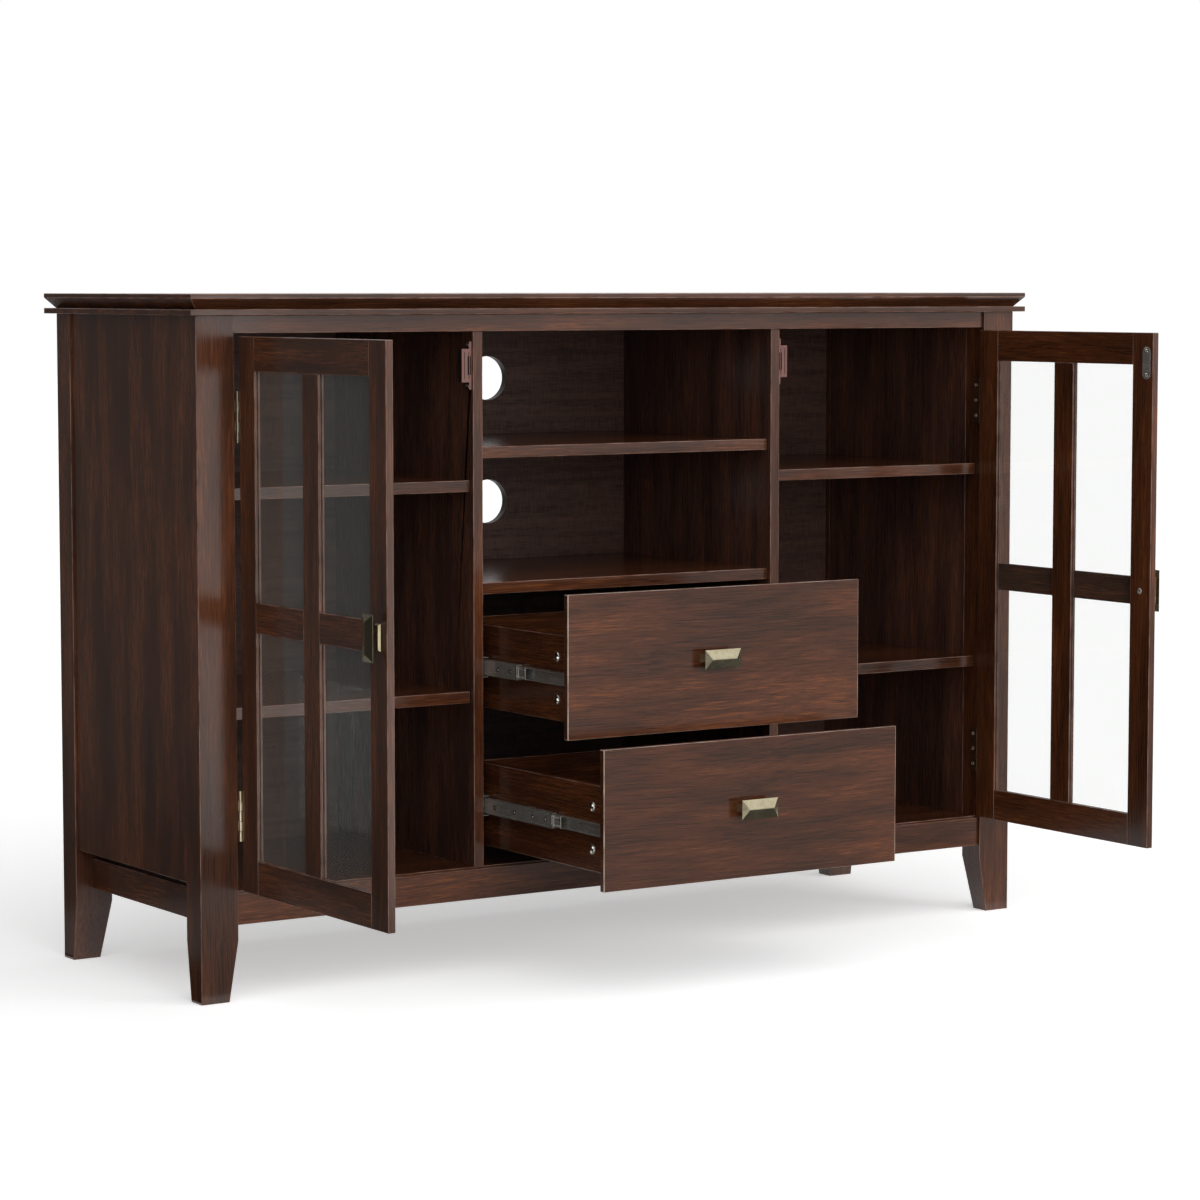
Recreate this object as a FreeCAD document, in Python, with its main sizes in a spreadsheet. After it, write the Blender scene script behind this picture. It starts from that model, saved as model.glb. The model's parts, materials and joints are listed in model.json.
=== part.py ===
import FreeCAD, Part
import os
import re

# A tall tv stand, modelled as it stands in use: both glass doors open square to the
# front and both drawers drawn out. Millimetres. +X is the viewer's right, -Y is the
# front, +Z is up and the floor is z = 0.

DIMENSIONS = [
    # The whole cabinet.
    ("carcass_width", "1321"),
    ("carcass_depth", "406"),
    ("overall_height", "900"),
    # Top board and the thin slab that it lies on.
    ("top_overhang", "12.5"),
    ("top_thickness", "19.5"),
    ("top_edge_band", "5.8"),
    ("top_bevel_inset", "12"),
    ("slab_thickness", "7.5"),
    # Corner posts and their tapered feet.
    ("post_width", "53.5"),
    ("post_depth", "40"),
    ("foot_width", "40.2"),
    ("foot_depth", "29"),
    ("foot_height", "79"),
    # Rails between the posts.
    ("rail_recess", "4"),
    ("rail_thickness", "20"),
    ("top_rail_height", "22.6"),
    ("bottom_rail_height", "40.8"),
    ("rail_lift", "97.6"),
    ("side_rail_recess", "25.5"),
    # Outer side panels and inner linings of the two sides.
    ("side_panel_recess", "3.5"),
    ("side_panel_thickness", "15"),
    ("side_panel_gap", "13"),
    ("lining_thickness", "14"),
    # Bottom panel in the front rail's rebate, and back panel with its cable holes.
    ("bottom_panel_thickness", "15"),
    ("bottom_panel_proud", "2.4"),
    ("bottom_panel_setback", "9.5"),
    ("back_panel_thickness", "12.5"),
    ("back_panel_recess", "17.5"),
    ("cable_hole_diameter", "63"),
    ("upper_cable_hole_lift", "80"),
    ("lower_cable_hole_lift", "83.1"),
    # Dividers either side of the centre bay.
    ("centre_bay_width", "469.4"),
    ("divider_thickness", "14.6"),
    ("divider_setback", "9"),
    # Shelves and the pegs under the loose ones.
    ("shelf_thickness", "15.5"),
    ("shelf_setback", "17"),
    ("shelf_clearance", "1"),
    ("side_lower_shelf_lift", "233.6"),
    ("side_shelf_step", "280"),
    ("drawer_shelf_reveal", "1.1"),
    ("centre_shelf_step", "180.4"),
    ("peg_diameter", "5"),
    ("peg_depth", "6"),
    ("peg_reach", "8"),
    ("peg_inset", "45"),
    # Doors.
    ("door_width", "367"),
    ("door_thickness", "10"),
    ("door_bottom_gap", "1.8"),
    ("door_top_gap", "3.7"),
    ("stile_width", "40"),
    ("door_rail_width", "43.6"),
    ("muntin_width", "40"),
    ("cross_bar_width", "38.5"),
    ("glass_thickness", "3"),
    ("glass_setback", "4"),
    ("glass_groove_depth", "5"),
    ("glass_clearance", "0.3"),
    # Butt hinges: where the pin stands, and the leaves round it.
    ("hinge_side_gap", "2"),
    ("hinge_reach", "4.5"),
    ("hinge_edge_gap", "2.9"),
    ("hinge_face_gap", "1.3"),
    ("hinge_length", "65"),
    ("upper_hinge_inset", "101.2"),
    ("lower_hinge_inset", "96.2"),
    ("leaf_thickness", "1.2"),
    ("post_leaf_width", "22"),
    ("post_leaf_setback", "1.5"),
    ("door_leaf_width", "9"),
    ("knuckle_diameter", "5"),
    ("knuckle_gap", "0.4"),
    ("hinge_pin_diameter", "2"),
    ("hinge_pin_clearance", "0.05"),
    ("hinge_screw_spacing", "22"),
    ("hinge_screw_inset", "15.7"),
    # Screws.
    ("screw_diameter", "3"),
    ("screw_head_diameter", "6"),
    ("screw_head_crown", "3.4"),
    ("screw_head_height", "0.9"),
    ("screw_depth", "8"),
    # Magnetic catches on the dividers and strike plates on the doors.
    ("catch_height", "44.3"),
    ("catch_width", "15.5"),
    ("catch_depth", "8.5"),
    ("catch_setback", "12"),
    ("catch_drop", "41.2"),
    ("catch_flange_height", "63.5"),
    ("catch_flange_thickness", "4.2"),
    ("catch_screw_spacing", "54"),
    ("pole_height", "24"),
    ("pole_thickness", "1.4"),
    ("pole_spacing", "3.2"),
    ("pole_offset", "1.5"),
    ("pole_reach", "3.6"),
    ("pole_depth", "6"),
    ("strike_width", "14.8"),
    ("strike_height", "44.4"),
    ("strike_thickness", "1.2"),
    ("strike_inset", "4.5"),
    ("strike_screw_spacing", "33"),
    ("strike_screw_depth", "5"),
    # Pulls, the same on doors and drawers.
    ("pull_length", "57"),
    ("pull_width", "25.4"),
    ("pull_standoff", "14.5"),
    ("pull_rim", "3.6"),
    ("pull_rise", "4.5"),
    ("pull_ridge_length", "39"),
    ("pull_ridge_width", "0.8"),
    ("pull_neck_length", "33"),
    ("pull_neck_width", "9"),
    ("pull_inset", "21"),
    ("pull_screw_diameter", "4"),
    ("pull_screw_head_diameter", "9"),
    ("pull_screw_head_crown", "6"),
    ("pull_screw_head_height", "2"),
    ("pull_screw_bite", "7"),
    # Drawers.
    ("drawer_clearance", "1.3"),
    ("drawer_front_thickness", "9"),
    ("lower_front_gap", "3.5"),
    ("lower_front_height", "181.8"),
    ("middle_front_gap", "3.2"),
    ("upper_front_height", "187.4"),
    ("upper_drawer_travel", "191.7"),
    ("lower_drawer_travel", "275.3"),
    ("drawer_side_thickness", "12"),
    ("drawer_side_height", "111.3"),
    ("drawer_side_lift", "20.9"),
    ("drawer_box_depth", "330"),
    ("drawer_back_thickness", "12"),
    ("drawer_bottom_thickness", "5"),
    ("drawer_bottom_lift", "10"),
    ("drawer_groove_depth", "5"),
    ("cam_lock_diameter", "13"),
    ("cam_lock_depth", "9"),
    ("cam_lock_dome", "2.5"),
    ("cam_lock_crown", "7"),
    ("cam_lock_inset", "34.5"),
    ("cam_lock_spacing", "55"),
    # Drawer slides: cabinet, middle and drawer members, and the ball retainer on the last.
    ("slide_gap", "12.8"),
    ("slide_length", "325"),
    ("slide_setback", "11"),
    ("slide_metal", "1.2"),
    ("slide_clearance", "0.8"),
    ("cabinet_member_height", "27"),
    ("cabinet_member_depth", "9.5"),
    ("middle_member_height", "20"),
    ("middle_member_offset", "2.8"),
    ("middle_member_depth", "8.2"),
    ("inner_member_height", "16"),
    ("inner_member_depth", "6.8"),
    ("retainer_reach", "18"),
    ("retainer_length", "100"),
    ("upper_middle_travel", "80"),
    ("lower_middle_travel", "165"),
]

NAMES = {name for name, value in DIMENSIONS}
SIDES = ("left", "right")

document = FreeCAD.newDocument("tv_stand")
sheet = document.addObject("Spreadsheet::Sheet", "Dimensions")
for row, (name, value) in enumerate(DIMENSIONS, start=1):
    sheet.set(f"A{row}", name)
    sheet.set(f"B{row}", value)
    sheet.setAlias(f"B{row}", name)
document.recompute()

AXIS_X = FreeCAD.Vector(1, 0, 0)
AXIS_Y = FreeCAD.Vector(0, 1, 0)
AXIS_Z = FreeCAD.Vector(0, 0, 1)
OUTWARD = {"left": -AXIS_X, "right": AXIS_X}
INWARD = {"left": AXIS_X, "right": -AXIS_X}


def bind(item, prop, text):
    """Tie one property to an expression written with the names of the dimensions."""
    full = re.sub(r"[a-z_]+", lambda m: "Dimensions." + m.group(0) if m.group(0) in NAMES else m.group(0), text)
    item.setExpression(prop, full)


def place(item, x, y, z):
    """Tie the three coordinates of an object's position."""
    bind(item, "Placement.Base.x", x)
    bind(item, "Placement.Base.y", y)
    bind(item, "Placement.Base.z", z)


def box(name, x, y, z):
    """A board between three pairs of low and high coordinates."""
    item = document.addObject("Part::Box", name)
    bind(item, "Length", f"({x[1]}) - ({x[0]})")
    bind(item, "Width", f"({y[1]}) - ({y[0]})")
    bind(item, "Height", f"({z[1]}) - ({z[0]})")
    place(item, x[0], y[0], z[0])
    return item


def rod(name, start, axis, length, diameter):
    """A round rod from a start point along an axis."""
    item = document.addObject("Part::Cylinder", name)
    item.Placement.Rotation = FreeCAD.Rotation(AXIS_Z, axis)
    bind(item, "Radius", f"({diameter}) / 2")
    bind(item, "Height", length)
    place(item, *start)
    return item


def dome(name, start, axis, height, diameter, crown):
    """A low head that narrows from its seat to a flat crown."""
    item = document.addObject("Part::Cone", name)
    item.Placement.Rotation = FreeCAD.Rotation(AXIS_Z, axis)
    bind(item, "Radius1", f"({diameter}) / 2")
    bind(item, "Radius2", f"({crown}) / 2")
    bind(item, "Height", height)
    place(item, *start)
    return item


def wedge(name, x, y, z, far_x, far_z):
    """A solid between a rectangle at the low y and another at the high y."""
    item = document.addObject("Part::Wedge", name)
    bind(item, "Xmin", x[0])
    bind(item, "Xmax", x[1])
    bind(item, "Ymin", y[0])
    bind(item, "Ymax", y[1])
    bind(item, "Zmin", z[0])
    bind(item, "Zmax", z[1])
    bind(item, "X2min", far_x[0])
    bind(item, "X2max", far_x[1])
    bind(item, "Z2min", far_z[0])
    bind(item, "Z2max", far_z[1])
    return item


def fuse(name, items):
    """One solid from several that touch or overlap."""
    item = document.addObject("Part::MultiFuse", name)
    item.Shapes = items
    item.Refine = True
    return item


def group(name, items):
    """Several separate solids kept together."""
    item = document.addObject("Part::Compound", name)
    item.Links = items
    return item


def cut(name, base, tools):
    """A solid with all the tools taken away from it."""
    item = document.addObject("Part::Cut", name)
    item.Base = base
    item.Tool = tools[0] if len(tools) == 1 else group(name + "_tools", tools)
    return item


def side_span(side, near, far):
    """Low and high X of something between two distances from the middle of the cabinet."""
    if side == "left":
        return (f"-({far})", f"-({near})")
    return (near, far)


def side_line(side, distance):
    """X of a line at a distance from the middle of the cabinet."""
    return f"-({distance})" if side == "left" else distance


def depth(offset):
    """Y of a plane at a distance behind the front faces of the posts."""
    return f"({FRONT}) + ({offset})"


def depths(near, far):
    """Low and high Y between two distances behind the front faces of the posts."""
    return (depth(near), depth(far))


def screw(name, seat, axis, bite):
    """A domed screw: its shank, which is also the hole that it needs, and the whole screw."""
    shank = rod(name + "_shank", seat, axis, bite, "screw_diameter")
    head = dome(name + "_head", seat, -axis, "screw_head_height", "screw_head_diameter", "screw_head_crown")
    return shank, fuse(name, [shank, head])


# The front faces of the posts lie so that the middle of the depth, doors included, is y = 0.
FRONT = "-(carcass_depth + top_overhang - hinge_reach - hinge_edge_gap - door_width) / 2"
OUTER = "carcass_width / 2"
INNER = "carcass_width / 2 - post_width"
SLAB_BOTTOM = "overall_height - top_thickness - slab_thickness"
BOARD_BOTTOM = "overall_height - top_thickness"
RAIL_TOP = "rail_lift + bottom_rail_height"
FLOOR_TOP = "rail_lift + bottom_rail_height + bottom_panel_proud"
FLOOR_BOTTOM = FLOOR_TOP + " - bottom_panel_thickness"
TOP_RAIL_BOTTOM = SLAB_BOTTOM + " - top_rail_height"
BACK_FACE = "carcass_depth - back_panel_recess - back_panel_thickness"
BAY = "centre_bay_width / 2"
DIVIDER_FACE = "centre_bay_width / 2 + divider_thickness"
DOOR_BOTTOM = f"{FLOOR_TOP} + door_bottom_gap"
DOOR_TOP = f"{TOP_RAIL_BOTTOM} - door_top_gap"
HINGE_HEIGHT = {"upper": f"{DOOR_TOP} - upper_hinge_inset", "lower": f"{DOOR_BOTTOM} + lower_hinge_inset"}
CATCH = f"{DOOR_TOP} - catch_drop"
LOWER_FRONT = (f"{FLOOR_TOP} + lower_front_gap", f"{FLOOR_TOP} + lower_front_gap + lower_front_height")
UPPER_FRONT = (f"{LOWER_FRONT[1]} + middle_front_gap", f"{LOWER_FRONT[1]} + middle_front_gap + upper_front_height")
DRAWER_SHELF = f"{UPPER_FRONT[1]} + drawer_shelf_reveal"
CENTRE_SHELF = f"{DRAWER_SHELF} + centre_shelf_step"
LOWER_SHELF = f"{FLOOR_TOP} + side_lower_shelf_lift"
SIDE_SHELF = {"lower": LOWER_SHELF, "upper": f"{LOWER_SHELF} + side_shelf_step"}

nodes = {}

# Top board: a band round the edge, then a bevel that runs in to the slab.
band = box(
    "top_band",
    side_span("left", f"-({OUTER} + top_overhang)", f"{OUTER} + top_overhang"),
    depths("-top_overhang", "carcass_depth + top_overhang"),
    ("overall_height - top_edge_band", "overall_height"),
)
bevel = wedge(
    "top_bevel",
    (f"-({OUTER} + top_overhang - top_bevel_inset)", f"{OUTER} + top_overhang - top_bevel_inset"),
    ("0", "top_thickness - top_edge_band"),
    ("-carcass_depth / 2 - top_overhang + top_bevel_inset", "carcass_depth / 2 + top_overhang - top_bevel_inset"),
    (f"-({OUTER} + top_overhang)", f"{OUTER} + top_overhang"),
    ("-carcass_depth / 2 - top_overhang", "carcass_depth / 2 + top_overhang"),
)
bevel.Placement.Rotation = FreeCAD.Rotation(AXIS_X, 90)
place(bevel, "0", depth("carcass_depth / 2"), BOARD_BOTTOM)
nodes["top_board"] = fuse("top_board", [band, bevel])
nodes["top_slab"] = box(
    "top_slab",
    (f"-({OUTER} + top_overhang)", f"{OUTER} + top_overhang"),
    depths("-top_overhang", "carcass_depth + top_overhang"),
    (SLAB_BOTTOM, BOARD_BOTTOM),
)

# Rails across the front. The bottom one is rebated for the bottom panel.
rail_depth = depths("rail_recess", "rail_recess + rail_thickness")
between_posts = (f"-({INNER})", INNER)
nodes["front_top_rail"] = box("front_top_rail", between_posts, rail_depth, (TOP_RAIL_BOTTOM, SLAB_BOTTOM))
nodes["bottom_panel"] = box(
    "bottom_panel", between_posts, depths("bottom_panel_setback", BACK_FACE), (FLOOR_BOTTOM, FLOOR_TOP)
)
nodes["front_bottom_rail"] = cut(
    "front_bottom_rail",
    box("bottom_rail_blank", between_posts, rail_depth, ("rail_lift", RAIL_TOP)),
    [nodes["bottom_panel"]],
)

# Back panel between the back posts, with two cable holes in the middle.
holes = [
    rod(f"{level}_cable_bore", ("0", depth(BACK_FACE), f"{shelf} + {level}_cable_hole_lift"), AXIS_Y,
        "back_panel_thickness", "cable_hole_diameter")
    for level, shelf in (("upper", CENTRE_SHELF), ("lower", DRAWER_SHELF))
]
nodes["back_panel"] = cut(
    "back_panel",
    box("back_panel_blank", between_posts, depths(BACK_FACE, "carcass_depth - back_panel_recess"),
        ("rail_lift", SLAB_BOTTOM)),
    holes,
)

# Shelves. The one over the drawers is fixed; the others lie loose on pegs.
shelf_depth = depths("shelf_setback", f"{BACK_FACE} - shelf_clearance")
nodes["drawer_shelf"] = box(
    "drawer_shelf", (f"-{BAY}", BAY), depths("shelf_setback", BACK_FACE),
    (f"{DRAWER_SHELF} - shelf_thickness", DRAWER_SHELF),
)
nodes["centre_shelf"] = box(
    "centre_shelf", (f"-{BAY} + shelf_clearance", f"{BAY} - shelf_clearance"), shelf_depth,
    (f"{CENTRE_SHELF} - shelf_thickness", CENTRE_SHELF),
)
side_shelves = []
for side in SIDES:
    for level in ("upper", "lower"):
        top = SIDE_SHELF[level]
        side_shelves.append(box(
            f"{side}_{level}_shelf",
            side_span(side, f"{DIVIDER_FACE} + shelf_clearance", f"{INNER} - shelf_clearance"),
            shelf_depth, (f"{top} - shelf_thickness", top),
        ))
nodes["side_shelves"] = group("side_shelves", side_shelves)


def pegs(name, start, axis, top):
    """Two pegs under one end of a shelf, front and back, each with its hole in the wall."""
    found = []
    for end, y in (("front", "shelf_setback + peg_inset"), ("back", f"{BACK_FACE} - peg_inset")):
        point = (start, depth(y), f"{top} - shelf_thickness - peg_diameter / 2")
        found.append(rod(f"{name}_{end}_peg", point, axis, "peg_depth + peg_reach", "peg_diameter"))
    return found


all_pegs = []
lining_pegs = {"left": [], "right": []}
divider_pegs = {"left": [], "right": []}
for side in SIDES:
    for level in ("upper", "lower"):
        top = SIDE_SHELF[level]
        outer = pegs(f"{side}_{level}_outer", side_line(side, f"{INNER} + peg_depth"), INWARD[side], top)
        inner = pegs(f"{side}_{level}_inner", side_line(side, f"{DIVIDER_FACE} - peg_depth"), OUTWARD[side], top)
        lining_pegs[side] += outer
        divider_pegs[side] += inner
    divider_pegs[side] += pegs(f"{side}_centre", side_line(side, f"{BAY} + peg_depth"), INWARD[side],
                               CENTRE_SHELF)
    all_pegs += lining_pegs[side] + divider_pegs[side]
nodes["shelf_pegs"] = group("shelf_pegs", all_pegs)

# Magnetic catches high on the side-bay faces of the dividers.
catch_bodies = []
catch_poles = []
catch_screws = {"left": [], "right": []}
carcass_screws = []
for side in SIDES:
    body = box(
        f"{side}_catch_body",
        side_span(side, DIVIDER_FACE, f"{DIVIDER_FACE} + catch_width"),
        depths("catch_setback", "catch_setback + catch_depth"),
        (f"{CATCH} - catch_height / 2", f"{CATCH} + catch_height / 2"),
    )
    flange = box(
        f"{side}_catch_flange",
        side_span(side, DIVIDER_FACE, f"{DIVIDER_FACE} + catch_flange_thickness"),
        depths("catch_setback", "catch_setback + catch_depth"),
        (f"{CATCH} - catch_flange_height / 2", f"{CATCH} + catch_flange_height / 2"),
    )
    poles = []
    for turn, shift in (("near", "0"), ("far", "pole_spacing")):
        poles.append(box(
            f"{side}_{turn}_pole",
            side_span(side, f"{DIVIDER_FACE} + pole_offset + {shift}",
                      f"{DIVIDER_FACE} + pole_offset + {shift} + pole_thickness"),
            depths("catch_setback - pole_reach", "catch_setback + pole_depth"),
            (f"{CATCH} - pole_height / 2", f"{CATCH} + pole_height / 2"),
        ))
    catch_poles += poles
    for end, sign in (("upper", "+"), ("lower", "-")):
        seat = (side_line(side, f"{DIVIDER_FACE} + catch_flange_thickness"),
                depth("catch_setback + catch_depth / 2"),
                f"{CATCH} {sign} catch_screw_spacing / 2")
        shank, whole = screw(f"{side}_{end}_catch_screw", seat, INWARD[side],
                             "catch_flange_thickness + screw_depth")
        catch_screws[side].append(shank)
        carcass_screws.append(whole)
    catch_bodies.append(cut(f"{side}_catch", fuse(f"{side}_catch_blank", [body, flange]),
                            poles + catch_screws[side]))
nodes["catch_housings"] = group("catch_housings", catch_bodies)
nodes["catch_poles"] = group("catch_poles", catch_poles)

# Dividers, notched round the top rail, from the bottom panel to the slab.
for side in SIDES:
    blank = box(
        f"{side}_divider_blank", side_span(side, BAY, DIVIDER_FACE),
        depths("divider_setback", BACK_FACE), (FLOOR_TOP, SLAB_BOTTOM),
    )
    nodes[f"{side}_divider"] = cut(f"{side}_divider", blank,
                                   [nodes["front_top_rail"]] + divider_pegs[side] + catch_screws[side])

# Sides: a rail between the feet, an outer panel above it and a lining inside.
side_depth = depths("post_depth", "carcass_depth - post_depth")
side_rails = []
for side in SIDES:
    side_rails.append(box(f"{side}_side_rail", side_span(side, INNER, f"{OUTER} - side_rail_recess"),
                          side_depth, ("rail_lift", RAIL_TOP)))
    nodes[f"{side}_side_panel"] = box(
        f"{side}_side_panel",
        side_span(side, f"{OUTER} - side_panel_recess - side_panel_thickness", f"{OUTER} - side_panel_recess"),
        side_depth, (f"{RAIL_TOP} + side_panel_gap", SLAB_BOTTOM),
    )
    blank = box(f"{side}_lining_blank", side_span(side, INNER, f"{INNER} + lining_thickness"),
                side_depth, (RAIL_TOP, SLAB_BOTTOM))
    nodes[f"{side}_lining"] = cut(f"{side}_lining", blank, lining_pegs[side])
nodes["side_rails"] = group("side_rails", side_rails)

# Butt hinges. The pin stands in front of the post, so a door folds well clear of it.
PIN = f"{INNER} - hinge_side_gap"
DOOR_OUTER = f"{PIN} - hinge_face_gap"
DOOR_MIDDLE = f"({DOOR_BOTTOM} + {DOOR_TOP}) / 2"
KNUCKLES = 5


def door_line(distance):
    """Y of a line at a distance along an open door from its hinge edge."""
    return depth(f"-hinge_reach - hinge_edge_gap - ({distance})")


def door_span(near, far):
    """Low and high Y between two distances along an open door from its hinge edge."""
    return (door_line(far), door_line(near))


def door_box(name, side, along, through, z):
    """A piece of an open door: along from the hinge edge, through from the outer face."""
    return box(name, side_span(side, f"{DOOR_OUTER} - ({through[1]})", f"{DOOR_OUTER} - ({through[0]})"),
               door_span(*along), z)


def knuckle_span(height, index):
    """Low and high Z of one knuckle, counted from the foot of its hinge."""
    foot = f"{height} - hinge_length / 2"
    return (f"{foot} + hinge_length * {index} / {KNUCKLES} + knuckle_gap / 2",
            f"{foot} + hinge_length * {index + 1} / {KNUCKLES} - knuckle_gap / 2")


post_leaves = []
hinge_pins = []
post_screws = {"left": [], "right": []}
door_leaves = {"left": [], "right": []}
door_edge_screws = {"left": [], "right": []}
door_screws = {"left": [], "right": []}
for side in SIDES:
    for level in ("upper", "lower"):
        name = f"{side}_{level}_hinge"
        height = HINGE_HEIGHT[level]
        foot = f"{height} - hinge_length / 2"
        axis_point = (side_line(side, PIN), depth("-hinge_reach"), foot)
        hinge_pins.append(rod(f"{name}_pin", axis_point, AXIS_Z, "hinge_length", "hinge_pin_diameter"))
        bore = rod(f"{name}_bore", axis_point, AXIS_Z, "hinge_length", "hinge_pin_diameter + 2 * hinge_pin_clearance")
        leaf_z = (foot, f"{height} + hinge_length / 2")
        post_pieces = [box(
            f"{name}_post_plate", side_span(side, f"{INNER} - leaf_thickness", INNER),
            depths("-post_leaf_setback", "post_leaf_width"), leaf_z,
        )]
        door_pieces = [door_box(
            f"{name}_door_plate", side, ("-leaf_thickness", "0"),
            ("door_thickness - door_leaf_width", "door_thickness"), leaf_z,
        )]
        for index in range(KNUCKLES):
            z = knuckle_span(height, index)
            start = (side_line(side, PIN), depth("-hinge_reach"), z[0])
            knuckle = rod(f"{name}_knuckle_{index}", start, AXIS_Z, f"({z[1]}) - ({z[0]})", "knuckle_diameter")
            if index % 2 == 0:
                tab = box(f"{name}_tab_{index}", side_span(side, f"{INNER} - leaf_thickness", INNER),
                          depths("-hinge_reach", "-post_leaf_setback"), z)
                post_pieces += [knuckle, tab]
            else:
                tab = door_box(f"{name}_tab_{index}", side, ("-leaf_thickness", "0"),
                               ("-hinge_face_gap", "door_thickness - door_leaf_width"), z)
                door_pieces += [knuckle, tab]
        post_holes = [bore]
        door_holes = [bore]
        for index, shift in enumerate(("-hinge_screw_spacing", "0", "hinge_screw_spacing")):
            seat = (side_line(side, f"{INNER} - leaf_thickness"), depth("hinge_screw_inset"), f"{height} + {shift}")
            shank, whole = screw(f"{name}_post_screw_{index}", seat, OUTWARD[side], "leaf_thickness + screw_depth")
            post_holes.append(shank)
            post_screws[side].append(shank)
            carcass_screws.append(whole)
            seat = (side_line(side, f"{DOOR_OUTER} - door_thickness + door_leaf_width / 2"),
                    door_line("-leaf_thickness"), f"{height} + {shift}")
            shank, whole = screw(f"{name}_door_screw_{index}", seat, -AXIS_Y, "leaf_thickness + screw_depth")
            door_holes.append(shank)
            door_edge_screws[side].append(shank)
            door_screws[side].append(whole)
        post_leaves.append(cut(f"{name}_post_leaf", fuse(f"{name}_post_blank", post_pieces), post_holes))
        door_leaves[side].append(cut(f"{name}_door_leaf", fuse(f"{name}_door_blank", door_pieces), door_holes))
nodes["hinge_post_leaves"] = group("hinge_post_leaves", post_leaves)
nodes["hinge_pins"] = group("hinge_pins", hinge_pins)

# Corner posts. Each foot tapers on its two inner faces; the front ones hold the hinge screws.
for side in SIDES:
    for end in ("front", "back"):
        name = f"{side}_{end}_post"
        near, far = ("0", "post_depth") if end == "front" else ("carcass_depth - post_depth", "carcass_depth")
        shaft = box(f"{name}_shaft", side_span(side, INNER, OUTER), depths(near, far), ("foot_height", SLAB_BOTTOM))
        toe_y = ("0", "foot_depth") if end == "front" else ("post_depth - foot_depth", "post_depth")
        toe_x = ("0", "foot_width") if side == "left" else ("post_width - foot_width", "post_width")
        taper = wedge(f"{name}_taper", toe_x, ("-foot_height", "0"), tuple(f"-({text})" for text in reversed(toe_y)),
                      ("0", "post_width"), ("-post_depth", "0"))
        taper.Placement.Rotation = FreeCAD.Rotation(AXIS_X, 90)
        place(taper, side_span(side, INNER, OUTER)[0], depth(near), "foot_height")
        whole = fuse(f"{name}_blank" if end == "front" else name, [shaft, taper])
        nodes[name] = cut(name, whole, post_screws[side]) if end == "front" else whole


def pull(name):
    """A pull on the plane y = 0, facing -Y and lying along X, with the hole for its screw."""
    neck = box(f"{name}_neck", ("-pull_neck_length / 2", "pull_neck_length / 2"),
               ("-pull_standoff + pull_rim", "0"), ("-pull_neck_width / 2", "pull_neck_width / 2"))
    rim = box(f"{name}_rim", ("-pull_length / 2", "pull_length / 2"),
              ("-pull_standoff", "-pull_standoff + pull_rim"), ("-pull_width / 2", "pull_width / 2"))
    roof = wedge(f"{name}_roof", ("-pull_ridge_length / 2", "pull_ridge_length / 2"),
                 ("-pull_standoff - pull_rise", "-pull_standoff"),
                 ("-pull_ridge_width / 2", "pull_ridge_width / 2"),
                 ("-pull_length / 2", "pull_length / 2"), ("-pull_width / 2", "pull_width / 2"))
    thread = rod(f"{name}_thread", ("0", "0", "0"), -AXIS_Y, "pull_screw_bite", "pull_screw_diameter")
    return cut(name, fuse(f"{name}_blank", [neck, rim, roof]), [thread])


def pull_screw(name, seat, axis, through):
    """The screw that holds a pull from behind: its shank and the whole screw."""
    shank = rod(name + "_shank", seat, axis, f"{through} + pull_screw_bite", "pull_screw_diameter")
    head = dome(name + "_head", seat, -axis, "pull_screw_head_height", "pull_screw_head_diameter",
                "pull_screw_head_crown")
    return shank, fuse(name, [shank, head])


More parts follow.
